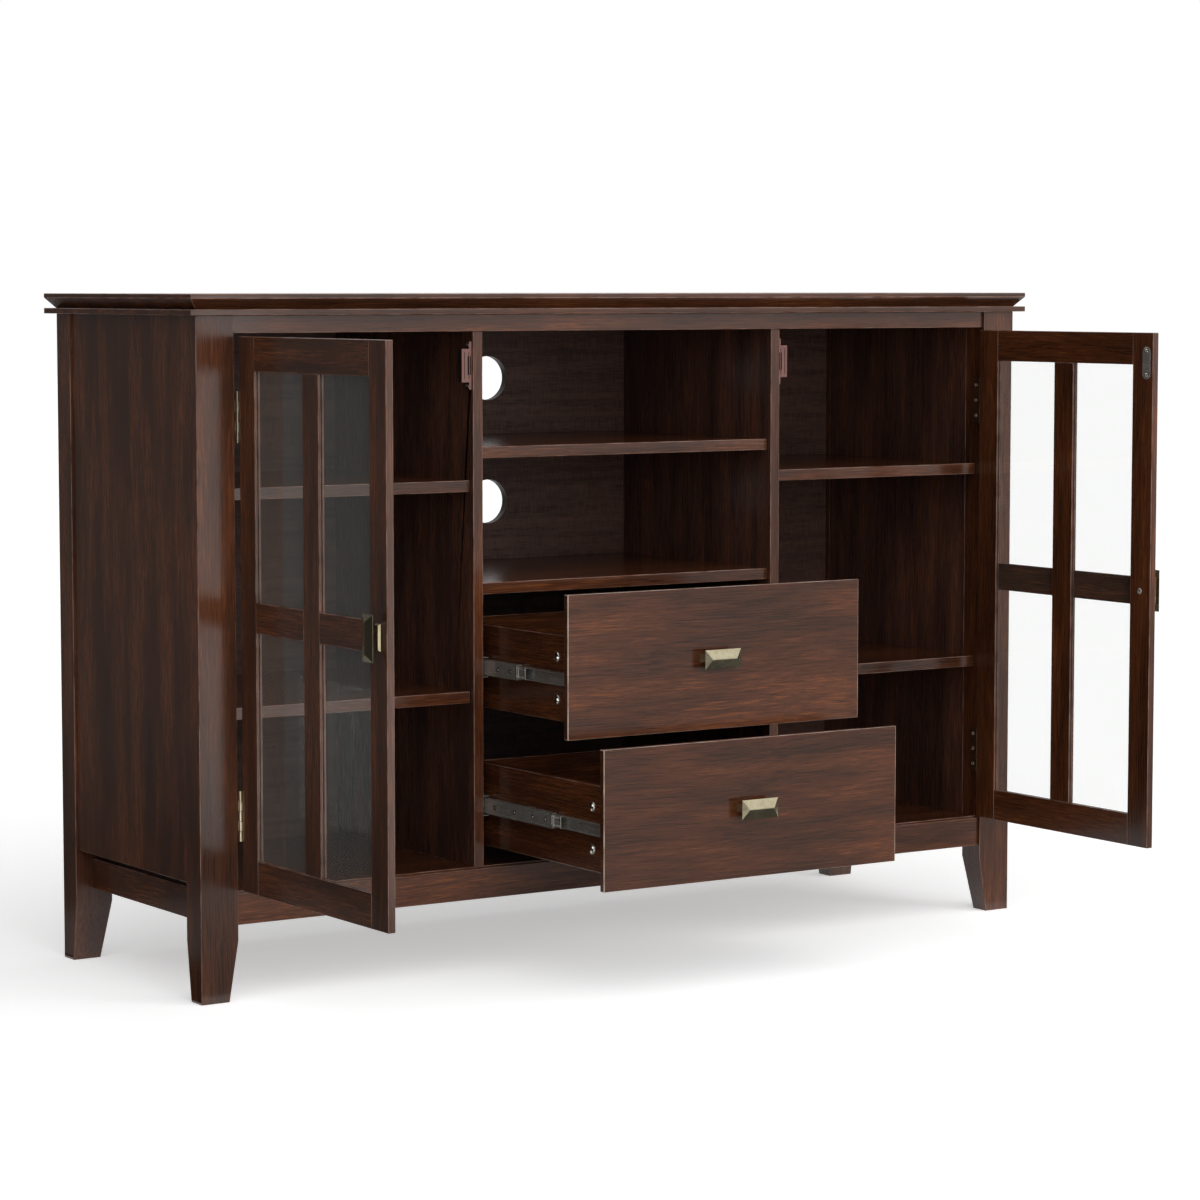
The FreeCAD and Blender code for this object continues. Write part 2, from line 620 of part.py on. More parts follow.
# Doors: stiles, rails and a muntin round two tall panes that sit in grooves. A cross bar lies on the
# outside of each pane. A pull is outside and a strike plate inside.
LIGHT = "(door_width - 2 * stile_width - muntin_width) / 2"
MUNTIN = (f"stile_width + {LIGHT}", f"stile_width + {LIGHT} + muntin_width")
LOCK = ("door_width - stile_width", "door_width")
LIGHTS = (f"{DOOR_BOTTOM} + door_rail_width", f"{DOOR_TOP} - door_rail_width")
CROSS_BAR = (f"{DOOR_MIDDLE} - cross_bar_width / 2", f"{DOOR_MIDDLE} + cross_bar_width / 2")
WHOLE = ("0", "door_thickness")
COLUMNS = (("hinge", ("stile_width", MUNTIN[0])), ("lock", (MUNTIN[1], LOCK[0])))
for side in SIDES:
    door = f"{side}_door"
    inner_face = side_line(side, f"{DOOR_OUTER} - door_thickness")
    panes = []
    grooves = []
    for column, along in COLUMNS:
        panes.append(door_box(
            f"{door}_{column}_pane", side,
            (f"{along[0]} - glass_groove_depth + glass_clearance",
             f"{along[1]} + glass_groove_depth - glass_clearance"),
            ("glass_setback", "glass_setback + glass_thickness"),
            (f"{LIGHTS[0]} - glass_groove_depth + glass_clearance",
             f"{LIGHTS[1]} + glass_groove_depth - glass_clearance"),
        ))
        grooves.append(door_box(
            f"{door}_{column}_groove", side,
            (f"{along[0]} - glass_groove_depth", f"{along[1]} + glass_groove_depth"),
            ("glass_setback - glass_clearance / 2", "glass_setback + glass_thickness + glass_clearance / 2"),
            (f"{LIGHTS[0]} - glass_groove_depth", f"{LIGHTS[1]} + glass_groove_depth"),
        ))
    strike_span = ("door_width - strike_inset - strike_width", "door_width - strike_inset")
    strike_axis = door_line("door_width - strike_inset - strike_width / 2")
    strike_face = side_line(side, f"{DOOR_OUTER} - door_thickness - strike_thickness")
    lock_holes = []
    for end, sign in (("upper", "+"), ("lower", "-")):
        seat = (strike_face, strike_axis, f"{CATCH} {sign} strike_screw_spacing / 2")
        shank, whole = screw(f"{door}_{end}_strike_screw", seat, OUTWARD[side],
                             "strike_thickness + strike_screw_depth")
        lock_holes.append(shank)
        door_screws[side].append(whole)
    rounded = []
    for end, sign in (("upper", "+"), ("lower", "-")):
        centre = (inner_face, strike_axis, f"{CATCH} {sign} (strike_height - strike_width) / 2")
        rounded.append(rod(f"{door}_{end}_strike_end", centre, INWARD[side], "strike_thickness", "strike_width"))
    strike_plate = door_box(
        f"{door}_strike_middle", side, strike_span, ("door_thickness", "door_thickness + strike_thickness"),
        (f"{CATCH} - (strike_height - strike_width) / 2",
         f"{CATCH} + (strike_height - strike_width) / 2"),
    )
    nodes[f"{door}_strike_plate"] = cut(f"{door}_strike_plate",
                                        fuse(f"{door}_strike_blank", [strike_plate] + rounded), list(lock_holes))
    pull_y = door_line("door_width - pull_inset")
    shank, whole = pull_screw(f"{door}_pull_screw", (inner_face, pull_y, DOOR_MIDDLE), OUTWARD[side], "door_thickness")
    lock_holes.append(shank)
    door_screws[side].append(whole)
    nodes[f"{door}_pull"] = pull(f"{door}_pull")
    upright = FreeCAD.Rotation(AXIS_Y, 90)
    nodes[f"{door}_pull"].Placement.Rotation = FreeCAD.Rotation(-AXIS_Y, OUTWARD[side]) * upright
    place(nodes[f"{door}_pull"], side_line(side, DOOR_OUTER), pull_y, DOOR_MIDDLE)

    full_height = (DOOR_BOTTOM, DOOR_TOP)
    hinge_stile = door_box(f"{door}_hinge_stile_blank", side, ("0", "stile_width"), WHOLE, full_height)
    lock_stile = door_box(f"{door}_lock_stile_blank", side, LOCK, WHOLE, full_height)
    nodes[f"{door}_stiles"] = group(f"{door}_stiles", [
        cut(f"{door}_hinge_stile", hinge_stile, grooves + door_edge_screws[side]),
        cut(f"{door}_lock_stile", lock_stile, grooves + lock_holes),
    ])
    rails = []
    for level, z in (("top", (LIGHTS[1], DOOR_TOP)), ("bottom", (DOOR_BOTTOM, LIGHTS[0]))):
        blank = door_box(f"{door}_{level}_rail_blank", side, ("stile_width", LOCK[0]), WHOLE, z)
        rails.append(cut(f"{door}_{level}_rail", blank, grooves))
    for column, along in COLUMNS:
        rails.append(door_box(f"{door}_{column}_cross_bar", side, along, ("0", "glass_setback"), CROSS_BAR))
    nodes[f"{door}_rails"] = group(f"{door}_rails", rails)
    muntin = door_box(f"{door}_muntin_blank", side, MUNTIN, WHOLE, LIGHTS)
    nodes[f"{door}_muntin"] = cut(f"{door}_muntin", muntin, grooves)
    nodes[f"{door}_glass"] = group(f"{door}_glass", panes)
    nodes[f"{door}_hinge_leaves"] = group(f"{door}_hinge_leaves", door_leaves[side])
    nodes[f"{door}_screws"] = group(f"{door}_screws", door_screws[side])
nodes["carcass_screws"] = group("carcass_screws", carcass_screws)

# Drawers, closed flush with the closed doors and drawn out by their travel.
CLOSED_FACE = "hinge_face_gap - hinge_reach"
SIDE_FACE = f"{BAY} - slide_gap"
SIDE_INNER = f"{SIDE_FACE} - drawer_side_thickness"
slide_cabinet = []


def channel(name, side, near, far, half_height, web, y, z_centre):
    """A folded slide member: a web on its near or far side and two flanges."""
    web_span = (near, f"{near} + slide_metal") if web == "near" else (f"{far} - slide_metal", far)
    pieces = [box(f"{name}_web", side_span(side, *web_span), y,
                  (f"{z_centre} - {half_height}", f"{z_centre} + {half_height}"))]
    for end, span in (
        ("top", (f"{z_centre} + {half_height} - slide_metal", f"{z_centre} + {half_height}")),
        ("bottom", (f"{z_centre} - {half_height}", f"{z_centre} - {half_height} + slide_metal")),
    ):
        pieces.append(box(f"{name}_{end}", side_span(side, near, far), y, span))
    return pieces


for level, front_z in (("upper", UPPER_FRONT), ("lower", LOWER_FRONT)):
    drawer = f"{level}_drawer"
    travel = f"{level}_drawer_travel"
    face = f"{CLOSED_FACE} - {travel}"
    box_start = f"{face} + drawer_front_thickness"
    box_end = f"{box_start} + drawer_box_depth"
    side_bottom = f"{front_z[0]} + drawer_side_lift"
    side_top = f"{side_bottom} + drawer_side_height"
    centre = f"{side_bottom} + drawer_side_height / 2"
    pull_height = f"({front_z[0]} + {front_z[1]}) / 2"
    shank, whole = pull_screw(f"{drawer}_pull_screw", ("0", depth(box_start), pull_height), -AXIS_Y,
                              "drawer_front_thickness")
    fixings = [whole]
    nodes[f"{drawer}_front"] = cut(
        f"{drawer}_front",
        box(f"{drawer}_front_blank", (f"-{BAY} + drawer_clearance", f"{BAY} - drawer_clearance"),
            depths(face, box_start), front_z),
        [shank],
    )
    nodes[f"{drawer}_pull"] = pull(f"{drawer}_pull")
    place(nodes[f"{drawer}_pull"], "0", depth(face), pull_height)

    bottom_z = (f"{side_bottom} + drawer_bottom_lift",
                f"{side_bottom} + drawer_bottom_lift + drawer_bottom_thickness")
    nodes[f"{drawer}_bottom"] = box(
        f"{drawer}_bottom", (f"-({SIDE_INNER} + drawer_groove_depth)", f"{SIDE_INNER} + drawer_groove_depth"),
        depths(box_start, box_end), bottom_z,
    )
    nodes[f"{drawer}_back"] = box(
        f"{drawer}_back", (f"-({SIDE_INNER})", SIDE_INNER),
        depths(f"{box_end} - drawer_back_thickness", box_end), (bottom_z[1], side_top),
    )
    sides = []
    inner_members = []
    middle_members = []
    for side in SIDES:
        locks = []
        for end, sign in (("upper", "+"), ("lower", "-")):
            y = depth(f"{box_start} + cam_lock_inset")
            z = f"{centre} {sign} cam_lock_spacing / 2"
            seat = (side_line(side, SIDE_FACE), y, z)
            barrel = rod(f"{drawer}_{side}_{end}_lock_barrel", seat, INWARD[side], "cam_lock_depth",
                         "cam_lock_diameter")
            cap = dome(f"{drawer}_{side}_{end}_lock_cap", seat, OUTWARD[side], "cam_lock_dome",
                       "cam_lock_diameter", "cam_lock_crown")
            locks.append(barrel)
            fixings.append(fuse(f"{drawer}_{side}_{end}_lock", [barrel, cap]))
        blank = box(f"{drawer}_{side}_side_blank", side_span(side, SIDE_INNER, SIDE_FACE),
                    depths(box_start, box_end), (side_bottom, side_top))
        sides.append(cut(f"{drawer}_{side}_side", blank, [nodes[f"{drawer}_bottom"]] + locks))

        slide = f"{drawer}_{side}"
        outer_near = f"{BAY} - cabinet_member_depth"
        slide_cabinet.append(fuse(f"{slide}_cabinet_member", channel(
            f"{slide}_cabinet", side, outer_near, BAY, "cabinet_member_height / 2", "far",
            depths("slide_setback", "slide_setback + slide_length"), centre,
        )))
        middle_far = f"{BAY} - middle_member_offset"
        middle_near = f"{BAY} - middle_member_offset - middle_member_depth"
        middle_start = f"slide_setback - {level}_middle_travel"
        middle_members.append(fuse(f"{slide}_middle_member", channel(
            f"{slide}_middle", side, middle_near, middle_far, "middle_member_height / 2", "far",
            depths(middle_start, f"{middle_start} + slide_length"), centre,
        )))
        inner_far = f"{SIDE_FACE} + inner_member_depth"
        pieces = channel(
            f"{slide}_inner", side, SIDE_FACE, inner_far, "inner_member_height / 2", "near",
            depths(f"{box_start} + slide_clearance", f"{box_start} + slide_clearance + slide_length"), centre,
        )
        pieces.append(box(
            f"{slide}_retainer", side_span(side, inner_far, f"{inner_far} + slide_metal"),
            depths(f"{middle_start} - retainer_reach", f"{middle_start} - retainer_reach + retainer_length"),
            (f"{centre} - inner_member_height / 2", f"{centre} + inner_member_height / 2"),
        ))
        inner_members.append(fuse(f"{slide}_inner_member", pieces))
    nodes[f"{drawer}_sides"] = group(f"{drawer}_sides", sides)
    nodes[f"{drawer}_fixings"] = group(f"{drawer}_fixings", fixings)
    nodes[f"{drawer}_slide_members"] = group(f"{drawer}_slide_members", inner_members)
    nodes[f"{level}_middle_members"] = group(f"{level}_middle_members", middle_members)
nodes["slide_cabinet_members"] = group("slide_cabinet_members", slide_cabinet)

for name, item in nodes.items():
    item.Label = name
document.recompute()

faults = [item.Label for item in document.Objects if "Invalid" in item.State or "Error" in item.State]
faults += [name for name, item in nodes.items() if item.Shape.isNull() or not item.Shape.isValid()]
if faults:
    raise RuntimeError("these pieces did not build: " + ", ".join(faults))

os.makedirs("parts", exist_ok=True)
for name, item in nodes.items():
    item.Shape.exportStep(f"parts/{name}.step")
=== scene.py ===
"""A tall walnut tv stand with open glass doors and drawn-out drawers, dressed and lit in a plain studio."""
import json
import logging
import math
from dataclasses import dataclass
from enum import Enum
from functools import cache
from typing import Any

import bmesh
import bpy
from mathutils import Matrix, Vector


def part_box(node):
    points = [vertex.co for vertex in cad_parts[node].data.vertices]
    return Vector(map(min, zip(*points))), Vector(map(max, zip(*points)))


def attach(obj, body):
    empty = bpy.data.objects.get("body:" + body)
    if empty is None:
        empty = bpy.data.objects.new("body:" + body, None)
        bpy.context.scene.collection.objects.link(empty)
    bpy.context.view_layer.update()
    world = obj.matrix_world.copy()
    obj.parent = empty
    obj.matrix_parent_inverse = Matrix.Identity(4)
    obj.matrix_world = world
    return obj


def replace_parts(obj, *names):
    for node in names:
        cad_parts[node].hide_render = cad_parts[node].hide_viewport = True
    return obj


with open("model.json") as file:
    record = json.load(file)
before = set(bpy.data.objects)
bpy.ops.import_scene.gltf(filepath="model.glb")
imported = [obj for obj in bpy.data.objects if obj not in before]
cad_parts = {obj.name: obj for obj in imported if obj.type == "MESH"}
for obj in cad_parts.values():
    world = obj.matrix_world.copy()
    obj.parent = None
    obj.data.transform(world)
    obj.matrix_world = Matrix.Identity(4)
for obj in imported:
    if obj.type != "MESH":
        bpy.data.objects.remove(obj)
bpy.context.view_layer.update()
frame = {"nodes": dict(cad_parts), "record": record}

LOG = logging.getLogger("tv_stand")
MM = 0.001
# Nearly all of a noise lies between these two values, so what follows the whole of it starts and ends here.
NOISE_LOW, NOISE_HIGH = 0.3, 0.7


class Grain(Enum):
    """The axis that a board's grain runs along, in the pose that the model stands in."""

    ACROSS = 0
    DEEP = 1
    UPRIGHT = 2


class Side(Enum):
    """A side of the cabinet, with the sign of X there."""

    LEFT = -1
    RIGHT = 1


class Level(Enum):
    """One of the two drawers."""

    UPPER = "upper"
    LOWER = "lower"


def linear(colour: str) -> tuple[float, float, float, float]:
    """Turn an sRGB hex colour into linear light.

    Args:
        colour: six hex digits after a hash sign.

    Returns:
        Red, green, blue and an alpha of 1.
    """
    parts = [int(colour[i:i + 2], 16) / 255 for i in (1, 3, 5)]
    red, green, blue = (c / 12.92 if c <= 0.04045 else ((c + 0.055) / 1.055) ** 2.4 for c in parts)
    return red, green, blue, 1.0


def add(
    tree: bpy.types.NodeTree,
    kind: str,
    inputs: dict[str | int, Any] | None = None,
    stops: tuple[tuple[float, str], ...] = (),
    **settings: Any,
) -> bpy.types.Node:
    """Add one node with its settings and links.

    Args:
        tree: the node tree that gets it.
        kind: the node's type.
        inputs: for each input, a value, the output socket that feeds it, or a list of these.
        stops: places and hex colours of a colour ramp.
        settings: the node's own properties.

    Returns:
        The new node.
    """
    node = tree.nodes.new(kind)
    for name, value in settings.items():
        setattr(node, name, value)
    for key, value in (inputs or {}).items():
        for one in value if isinstance(value, list) else [value]:
            if isinstance(one, bpy.types.NodeSocket):
                tree.links.new(one, node.inputs[key])
            else:
                node.inputs[key].default_value = one
    for index, (place, colour) in enumerate(stops):
        ramp = node.color_ramp.elements
        # A new ramp has two stops already.
        stop = ramp[index] if index < 2 else ramp.new(place)
        stop.position = place
        stop.color = linear(colour)
    return node


def blank(name: str) -> tuple[bpy.types.Material, bpy.types.NodeTree, bpy.types.Node, bpy.types.NodeSocket]:
    """Start a material.

    Args:
        name: what the real material is called.

    Returns:
        The material, its tree, its main shader and the object's own coordinates.
    """
    material = bpy.data.materials.new(name)
    material.use_nodes = True
    tree = material.node_tree
    shader = tree.nodes["Principled BSDF"]
    return material, tree, shader, add(tree, "ShaderNodeTexCoord").outputs["Object"]


@dataclass(frozen=True)
class WalnutFoil:
    """Walnut-print foil pressed on board and lacquered satin.

    It gives the eye a dark red-brown with slow darker clouds, fine wandering grain lines, patches of short
    glowing dashes and a pale veil where a bright room lies in its sheen.
    """

    grain: Grain
    name: str = "walnut_foil"
    deep: str = "#301a0f"
    body: str = "#4b2917"
    light: str = "#613721"
    glow: str = "#8a4c22"
    cloud_mm: tuple[float, float] = (40.0, 300.0)
    line_mm: tuple[float, float] = (1.2, 70.0)
    glow_mm: tuple[float, float] = (1.7, 46.0)
    # Real pores are about 0.2 mm wide; they are drawn as 1.0 mm so that they show.
    pore_mm: tuple[float, float] = (1.0, 17.0)
    wander_mm: float = 240.0
    drift_mm: float = 10.0
    pore_height_mm: float = 0.04
    roughness: tuple[float, float] = (0.14, 0.23)
    specular: float = 0.62
    # The grain lines' share of the tone; the rest of it is cloud.
    line_share: float = 0.5
    # Where the tone is deep, body and light.
    tone_stops: tuple[float, float, float] = (0.37, 0.50, 0.63)
    # Where each layer starts to show and where it shows in full, and how strong it then is.
    patch_range: tuple[float, float] = (0.44, 0.62)
    patch_strength: float = 0.75
    glow_range: tuple[float, float] = (0.52, 0.70)
    dash_range: tuple[float, float] = (0.54, 0.68)
    dash_strength: float = 0.5
    # How much the finer detail frays a layer, and how far the pores dent the sheen.
    fray: float = 0.55
    pore_relief: float = 0.25

    def stretch(self, size_mm: tuple[float, float]) -> tuple[float, float, float]:
        """Find the scale that stretches a pattern along the grain.

        Args:
            size_mm: the pattern's width across the grain and its length along it.

        Returns:
            The scale along X, Y and Z.
        """
        width, length = size_mm
        scale = [1 / (width * MM)] * 3
        scale[self.grain.value] = 1 / (length * MM)
        return tuple(scale)

    def paint(self) -> bpy.types.Material:
        """Lay grain lines, glowing dashes and pores over slow clouds.

        Returns:
            The foil's material.
        """
        material, tree, shader, place = blank(f"{self.name}_{self.grain.name.lower()}")
        bend = add(
            tree, "ShaderNodeTexNoise", {"Vector": place, "Scale": 1 / (self.wander_mm * MM), "Detail": 1.0}
        )
        drift = (self.drift_mm * MM,) * 3
        grown = add(
            tree, "ShaderNodeVectorMath", {0: bend.outputs[1], 1: drift, 2: place}, operation="MULTIPLY_ADD"
        ).outputs[0]
        layers = {}
        for layer, size, detail in (
            ("cloud", self.cloud_mm, 3.0),
            ("line", self.line_mm, 3.0),
            ("glow", self.glow_mm, 3.0),
            ("pore", self.pore_mm, 1.0),
        ):
            mapped = add(tree, "ShaderNodeMapping", {"Vector": grown, "Scale": self.stretch(size)})
            layers[layer] = add(
                tree, "ShaderNodeTexNoise",
                {"Vector": mapped.outputs[0], "Scale": 1.0, "Detail": detail, "Roughness": self.fray},
            ).outputs[0]
        tone = add(
            tree, "ShaderNodeMix",
            {0: self.line_share, 2: layers["cloud"], 3: layers["line"]}, data_type="FLOAT",
        ).outputs[0]
        low, middle, high = self.tone_stops
        wood = add(
            tree, "ShaderNodeValToRGB", {0: tone},
            ((low, self.deep), (high, self.light), (middle, self.body)),
        ).outputs[0]
        start, full = self.patch_range
        patch = add(
            tree, "ShaderNodeMapRange", {0: layers["cloud"], 1: start, 2: full, 3: 0.0, 4: self.patch_strength}
        ).outputs[0]
        start, full = self.glow_range
        warm = add(
            tree, "ShaderNodeMapRange", {0: layers["glow"], 1: start, 2: full, 3: 0.0, 4: patch}
        ).outputs[0]
        lit = add(
            tree, "ShaderNodeMix", {0: warm, 6: wood, 7: linear(self.glow)}, data_type="RGBA"
        ).outputs[2]
        start, full = self.dash_range
        dash = add(
            tree, "ShaderNodeMapRange", {0: layers["pore"], 1: start, 2: full, 3: 0.0, 4: self.dash_strength}
        ).outputs[0]
        colour = add(
            tree, "ShaderNodeMix", {0: dash, 6: lit, 7: linear(self.deep)}, data_type="RGBA"
        ).outputs[2]
        low, high = self.roughness
        gloss = add(
            tree, "ShaderNodeMapRange", {0: layers["line"], 1: NOISE_LOW, 2: NOISE_HIGH, 3: low, 4: high}
        )
        bump = add(
            tree, "ShaderNodeBump",
            {"Height": layers["pore"], "Strength": self.pore_relief, "Distance": self.pore_height_mm * MM},
        )
        tree.links.new(colour, shader.inputs["Base Color"])
        tree.links.new(gloss.outputs[0], shader.inputs["Roughness"])
        tree.links.new(bump.outputs[0], shader.inputs["Normal"])
        shader.inputs["Specular IOR Level"].default_value = self.specular
        return material


@dataclass(frozen=True)
class RubbedHighlitArris:
    """The rounded edge of a foiled board, where the lacquer is rubbed thin.

    It gives the eye a paler hairline along every edge and joint: partly the rubbed edge, partly a painted
    highlight where the edge catches the light.
    """

    name: str = "rubbed_walnut_arris"
    # The pale colour is partly wear and partly a painted highlight along the edge.
    pale: str = "#86675a"
    dark: str = "#5a3727"
    # Handling rubs an edge in patches a few centimetres long.
    patch_mm: float = 30.0
    patch_range: tuple[float, float] = (0.35, 0.62)
    roughness: float = 0.24

    def paint(self) -> bpy.types.Material:
        """Mix the pale and the dark patches of the rubbed edge, whose pale is partly a painted highlight.

        Returns:
            The arris's material.
        """
        material, tree, shader, place = blank(self.name)
        noise = add(
            tree, "ShaderNodeTexNoise", {"Vector": place, "Scale": 1 / (self.patch_mm * MM), "Detail": 3.0}
        )
        low, high = self.patch_range
        ramp = add(tree, "ShaderNodeValToRGB", {0: noise.outputs[0]}, ((low, self.dark), (high, self.pale)))
        tree.links.new(ramp.outputs[0], shader.inputs["Base Color"])
        shader.inputs["Roughness"].default_value = self.roughness
        return material


@dataclass(frozen=True)
class LinenBoard:
    """Thin board with a printed brown face and a fine linen emboss.

    It gives the eye a greyer, flatter brown with level streaks, and raw board in the wall of each cable hole.
    """

    deep: str = "#2f1f1a"
    body: str = "#4f3830"
    raw: str = "#463f38"
    # Linen threads are about 0.4 mm apart; they are drawn as 2 mm so that they show.
    thread_mm: float = 2.0
    # A thread keeps its thickness for this many times its width.
    thread_length: float = 12.0
    warp_share: float = 0.5
    streak_mm: tuple[float, float] = (7.0, 160.0)
    # The threads' share of the tone; the rest of it is streaks.
    cloth_share: float = 0.7
    tone_range: tuple[float, float] = (0.40, 0.58)
    relief: float = 0.35
    relief_mm: float = 0.08
    # A trace more than the holes' own radius, so that the whole of their walls lies inside it.
    hole_radius_mm: float = 31.7
    hole_heights_mm: tuple[float, float] = (778.2, 600.9)
    roughness: float = 0.5
    specular: float = 0.35

    def paint(self) -> bpy.types.Material:
        """Weave threads over streaks, and leave the walls of the holes raw.

        Returns:
            The board's material.
        """
        material, tree, shader, place = blank("linen_embossed_board")
        across, along = self.streak_mm
        fine, long = 1 / (self.thread_mm * MM), 1 / (self.thread_mm * self.thread_length * MM)
        maps = {
            "streak": (1 / (along * MM), 1 / (across * MM), 1 / (across * MM)),
            "weft": (long, fine, fine),
            "warp": (fine, fine, long),
        }
        layer = {}
        for name, scale in maps.items():
            mapped = add(tree, "ShaderNodeMapping", {"Vector": place, "Scale": scale})
            layer[name] = add(
                tree, "ShaderNodeTexNoise", {"Vector": mapped.outputs[0], "Scale": 1.0, "Detail": 2.0}
            ).outputs[0]
        cloth = add(
            tree, "ShaderNodeMix", {0: self.warp_share, 2: layer["weft"], 3: layer["warp"]}, data_type="FLOAT"
        ).outputs[0]
        tone = add(
            tree, "ShaderNodeMix", {0: self.cloth_share, 2: layer["streak"], 3: cloth}, data_type="FLOAT"
        ).outputs[0]
        low, high = self.tone_range
        colour = add(tree, "ShaderNodeValToRGB", {0: tone}, ((low, self.deep), (high, self.body))).outputs[0]
        # The holes run along Y, so the distance from their axes leaves Y out.
        level = add(
            tree, "ShaderNodeVectorMath", {0: place, 1: (1.0, 0.0, 1.0)}, operation="MULTIPLY"
        ).outputs[0]
        for height in self.hole_heights_mm:
            radius = add(
                tree, "ShaderNodeVectorMath", {0: level, 1: (0.0, 0.0, height * MM)}, operation="DISTANCE"
            ).outputs["Value"]
            inside = add(
                tree, "ShaderNodeMath", {0: radius, 1: self.hole_radius_mm * MM}, operation="LESS_THAN"
            ).outputs[0]
            colour = add(
                tree, "ShaderNodeMix", {0: inside, 6: colour, 7: linear(self.raw)}, data_type="RGBA"
            ).outputs[2]
        bump = add(
            tree, "ShaderNodeBump",
            {"Height": cloth, "Strength": self.relief, "Distance": self.relief_mm * MM},
        )
        tree.links.new(colour, shader.inputs["Base Color"])
        tree.links.new(bump.outputs[0], shader.inputs["Normal"])
        shader.inputs["Roughness"].default_value = self.roughness
        shader.inputs["Specular IOR Level"].default_value = self.specular
        return material


@dataclass(frozen=True)
class FloatGlass:
    """Clear float glass, 3 mm, fire-polished.

    It gives the eye a faint grey-green tint, a sharp reflection and a few soft smears.
    """

    tint: str = "#fdfefd"
    smear_mm: float = 60.0
    smear_range: tuple[float, float] = (0.5, 0.8)
    smear_roughness: float = 0.03
    ior: float = 1.5
    # A film of dust, seen as a grey-green veil where the glass is looked along.
    dust: float = 0.17
    dust_tint: str = "#eff5ee"
    # What a pane lets through of the light that falls on things behind it.
    shade: str = "#e9ebea"

    def paint(self) -> bpy.types.Material:
        """Tint, smear and dust the glass.

        Returns:
            The glass's material.
        """
        material, tree, shader, place = blank("float_glass")
        noise = add(
            tree, "ShaderNodeTexNoise", {"Vector": place, "Scale": 1 / (self.smear_mm * MM), "Detail": 4.0}
        )
        start, full = self.smear_range
        smear = add(
            tree, "ShaderNodeMapRange",
            {0: noise.outputs[0], 1: start, 2: full, 3: 0.0, 4: self.smear_roughness},
        )
        tree.links.new(smear.outputs[0], shader.inputs["Roughness"])
        shader.inputs["Base Color"].default_value = linear(self.tint)
        shader.inputs["Transmission Weight"].default_value = 1.0
        shader.inputs["IOR"].default_value = self.ior
        shader.inputs["Sheen Weight"].default_value = self.dust
        shader.inputs["Sheen Tint"].default_value = linear(self.dust_tint)
        path = add(tree, "ShaderNodeLightPath").outputs
        light = add(
            tree, "ShaderNodeMath", {0: path["Is Shadow Ray"], 1: path["Is Diffuse Ray"]}, operation="MAXIMUM"
        )
        clear = add(tree, "ShaderNodeBsdfTransparent", {"Color": linear(self.shade)})
        both = add(
            tree, "ShaderNodeMixShader", {0: light.outputs[0], 1: shader.outputs[0], 2: clear.outputs[0]}
        )
        tree.links.new(both.outputs[0], tree.nodes["Material Output"].inputs["Surface"])
        return material


@dataclass(frozen=True)
class PlatedMetal:
    """A plated or polished metal with a brushed or rolled surface.

    It gives the eye a metal colour that shifts a little from place to place, under fine lines.
    """

    name: str
    bright: str
    dull: str
    roughness: tuple[float, float]
    # Brush lines are finer than 0.1 mm; they are drawn this wide so that they show.
    line_mm: tuple[float, float, float] = (20.0, 20.0, 0.6)
    cloud_mm: float = 14.0
    metallic: float = 1.0
    cloud_range: tuple[float, float] = (0.32, 0.62)
    relief: float = 0.1
    relief_mm: float = 0.02

    def paint(self) -> bpy.types.Material:
        """Cloud the metal's colour and draw its fine lines.

        Returns:
            The metal's material.
        """
        material, tree, shader, place = blank(self.name)
        scale = tuple(1 / (size * MM) for size in self.line_mm)
        mapped = add(tree, "ShaderNodeMapping", {"Vector": place, "Scale": scale})
        lines = add(
            tree, "ShaderNodeTexNoise", {"Vector": mapped.outputs[0], "Scale": 1.0, "Detail": 2.0}
        ).outputs[0]
        cloud = add(
            tree, "ShaderNodeTexNoise", {"Vector": place, "Scale": 1 / (self.cloud_mm * MM), "Detail": 3.0}
        ).outputs[0]
        low, high = self.cloud_range
        colour = add(tree, "ShaderNodeValToRGB", {0: cloud}, ((low, self.dull), (high, self.bright)))
        low, high = self.roughness
        gloss = add(tree, "ShaderNodeMapRange", {0: lines, 1: NOISE_LOW, 2: NOISE_HIGH, 3: low, 4: high})
        bump = add(
            tree, "ShaderNodeBump",
            {"Height": lines, "Strength": self.relief, "Distance": self.relief_mm * MM},
        )
        tree.links.new(colour.outputs[0], shader.inputs["Base Color"])
        tree.links.new(gloss.outputs[0], shader.inputs["Roughness"])
        tree.links.new(bump.outputs[0], shader.inputs["Normal"])
        shader.inputs["Metallic"].default_value = self.metallic
        return material


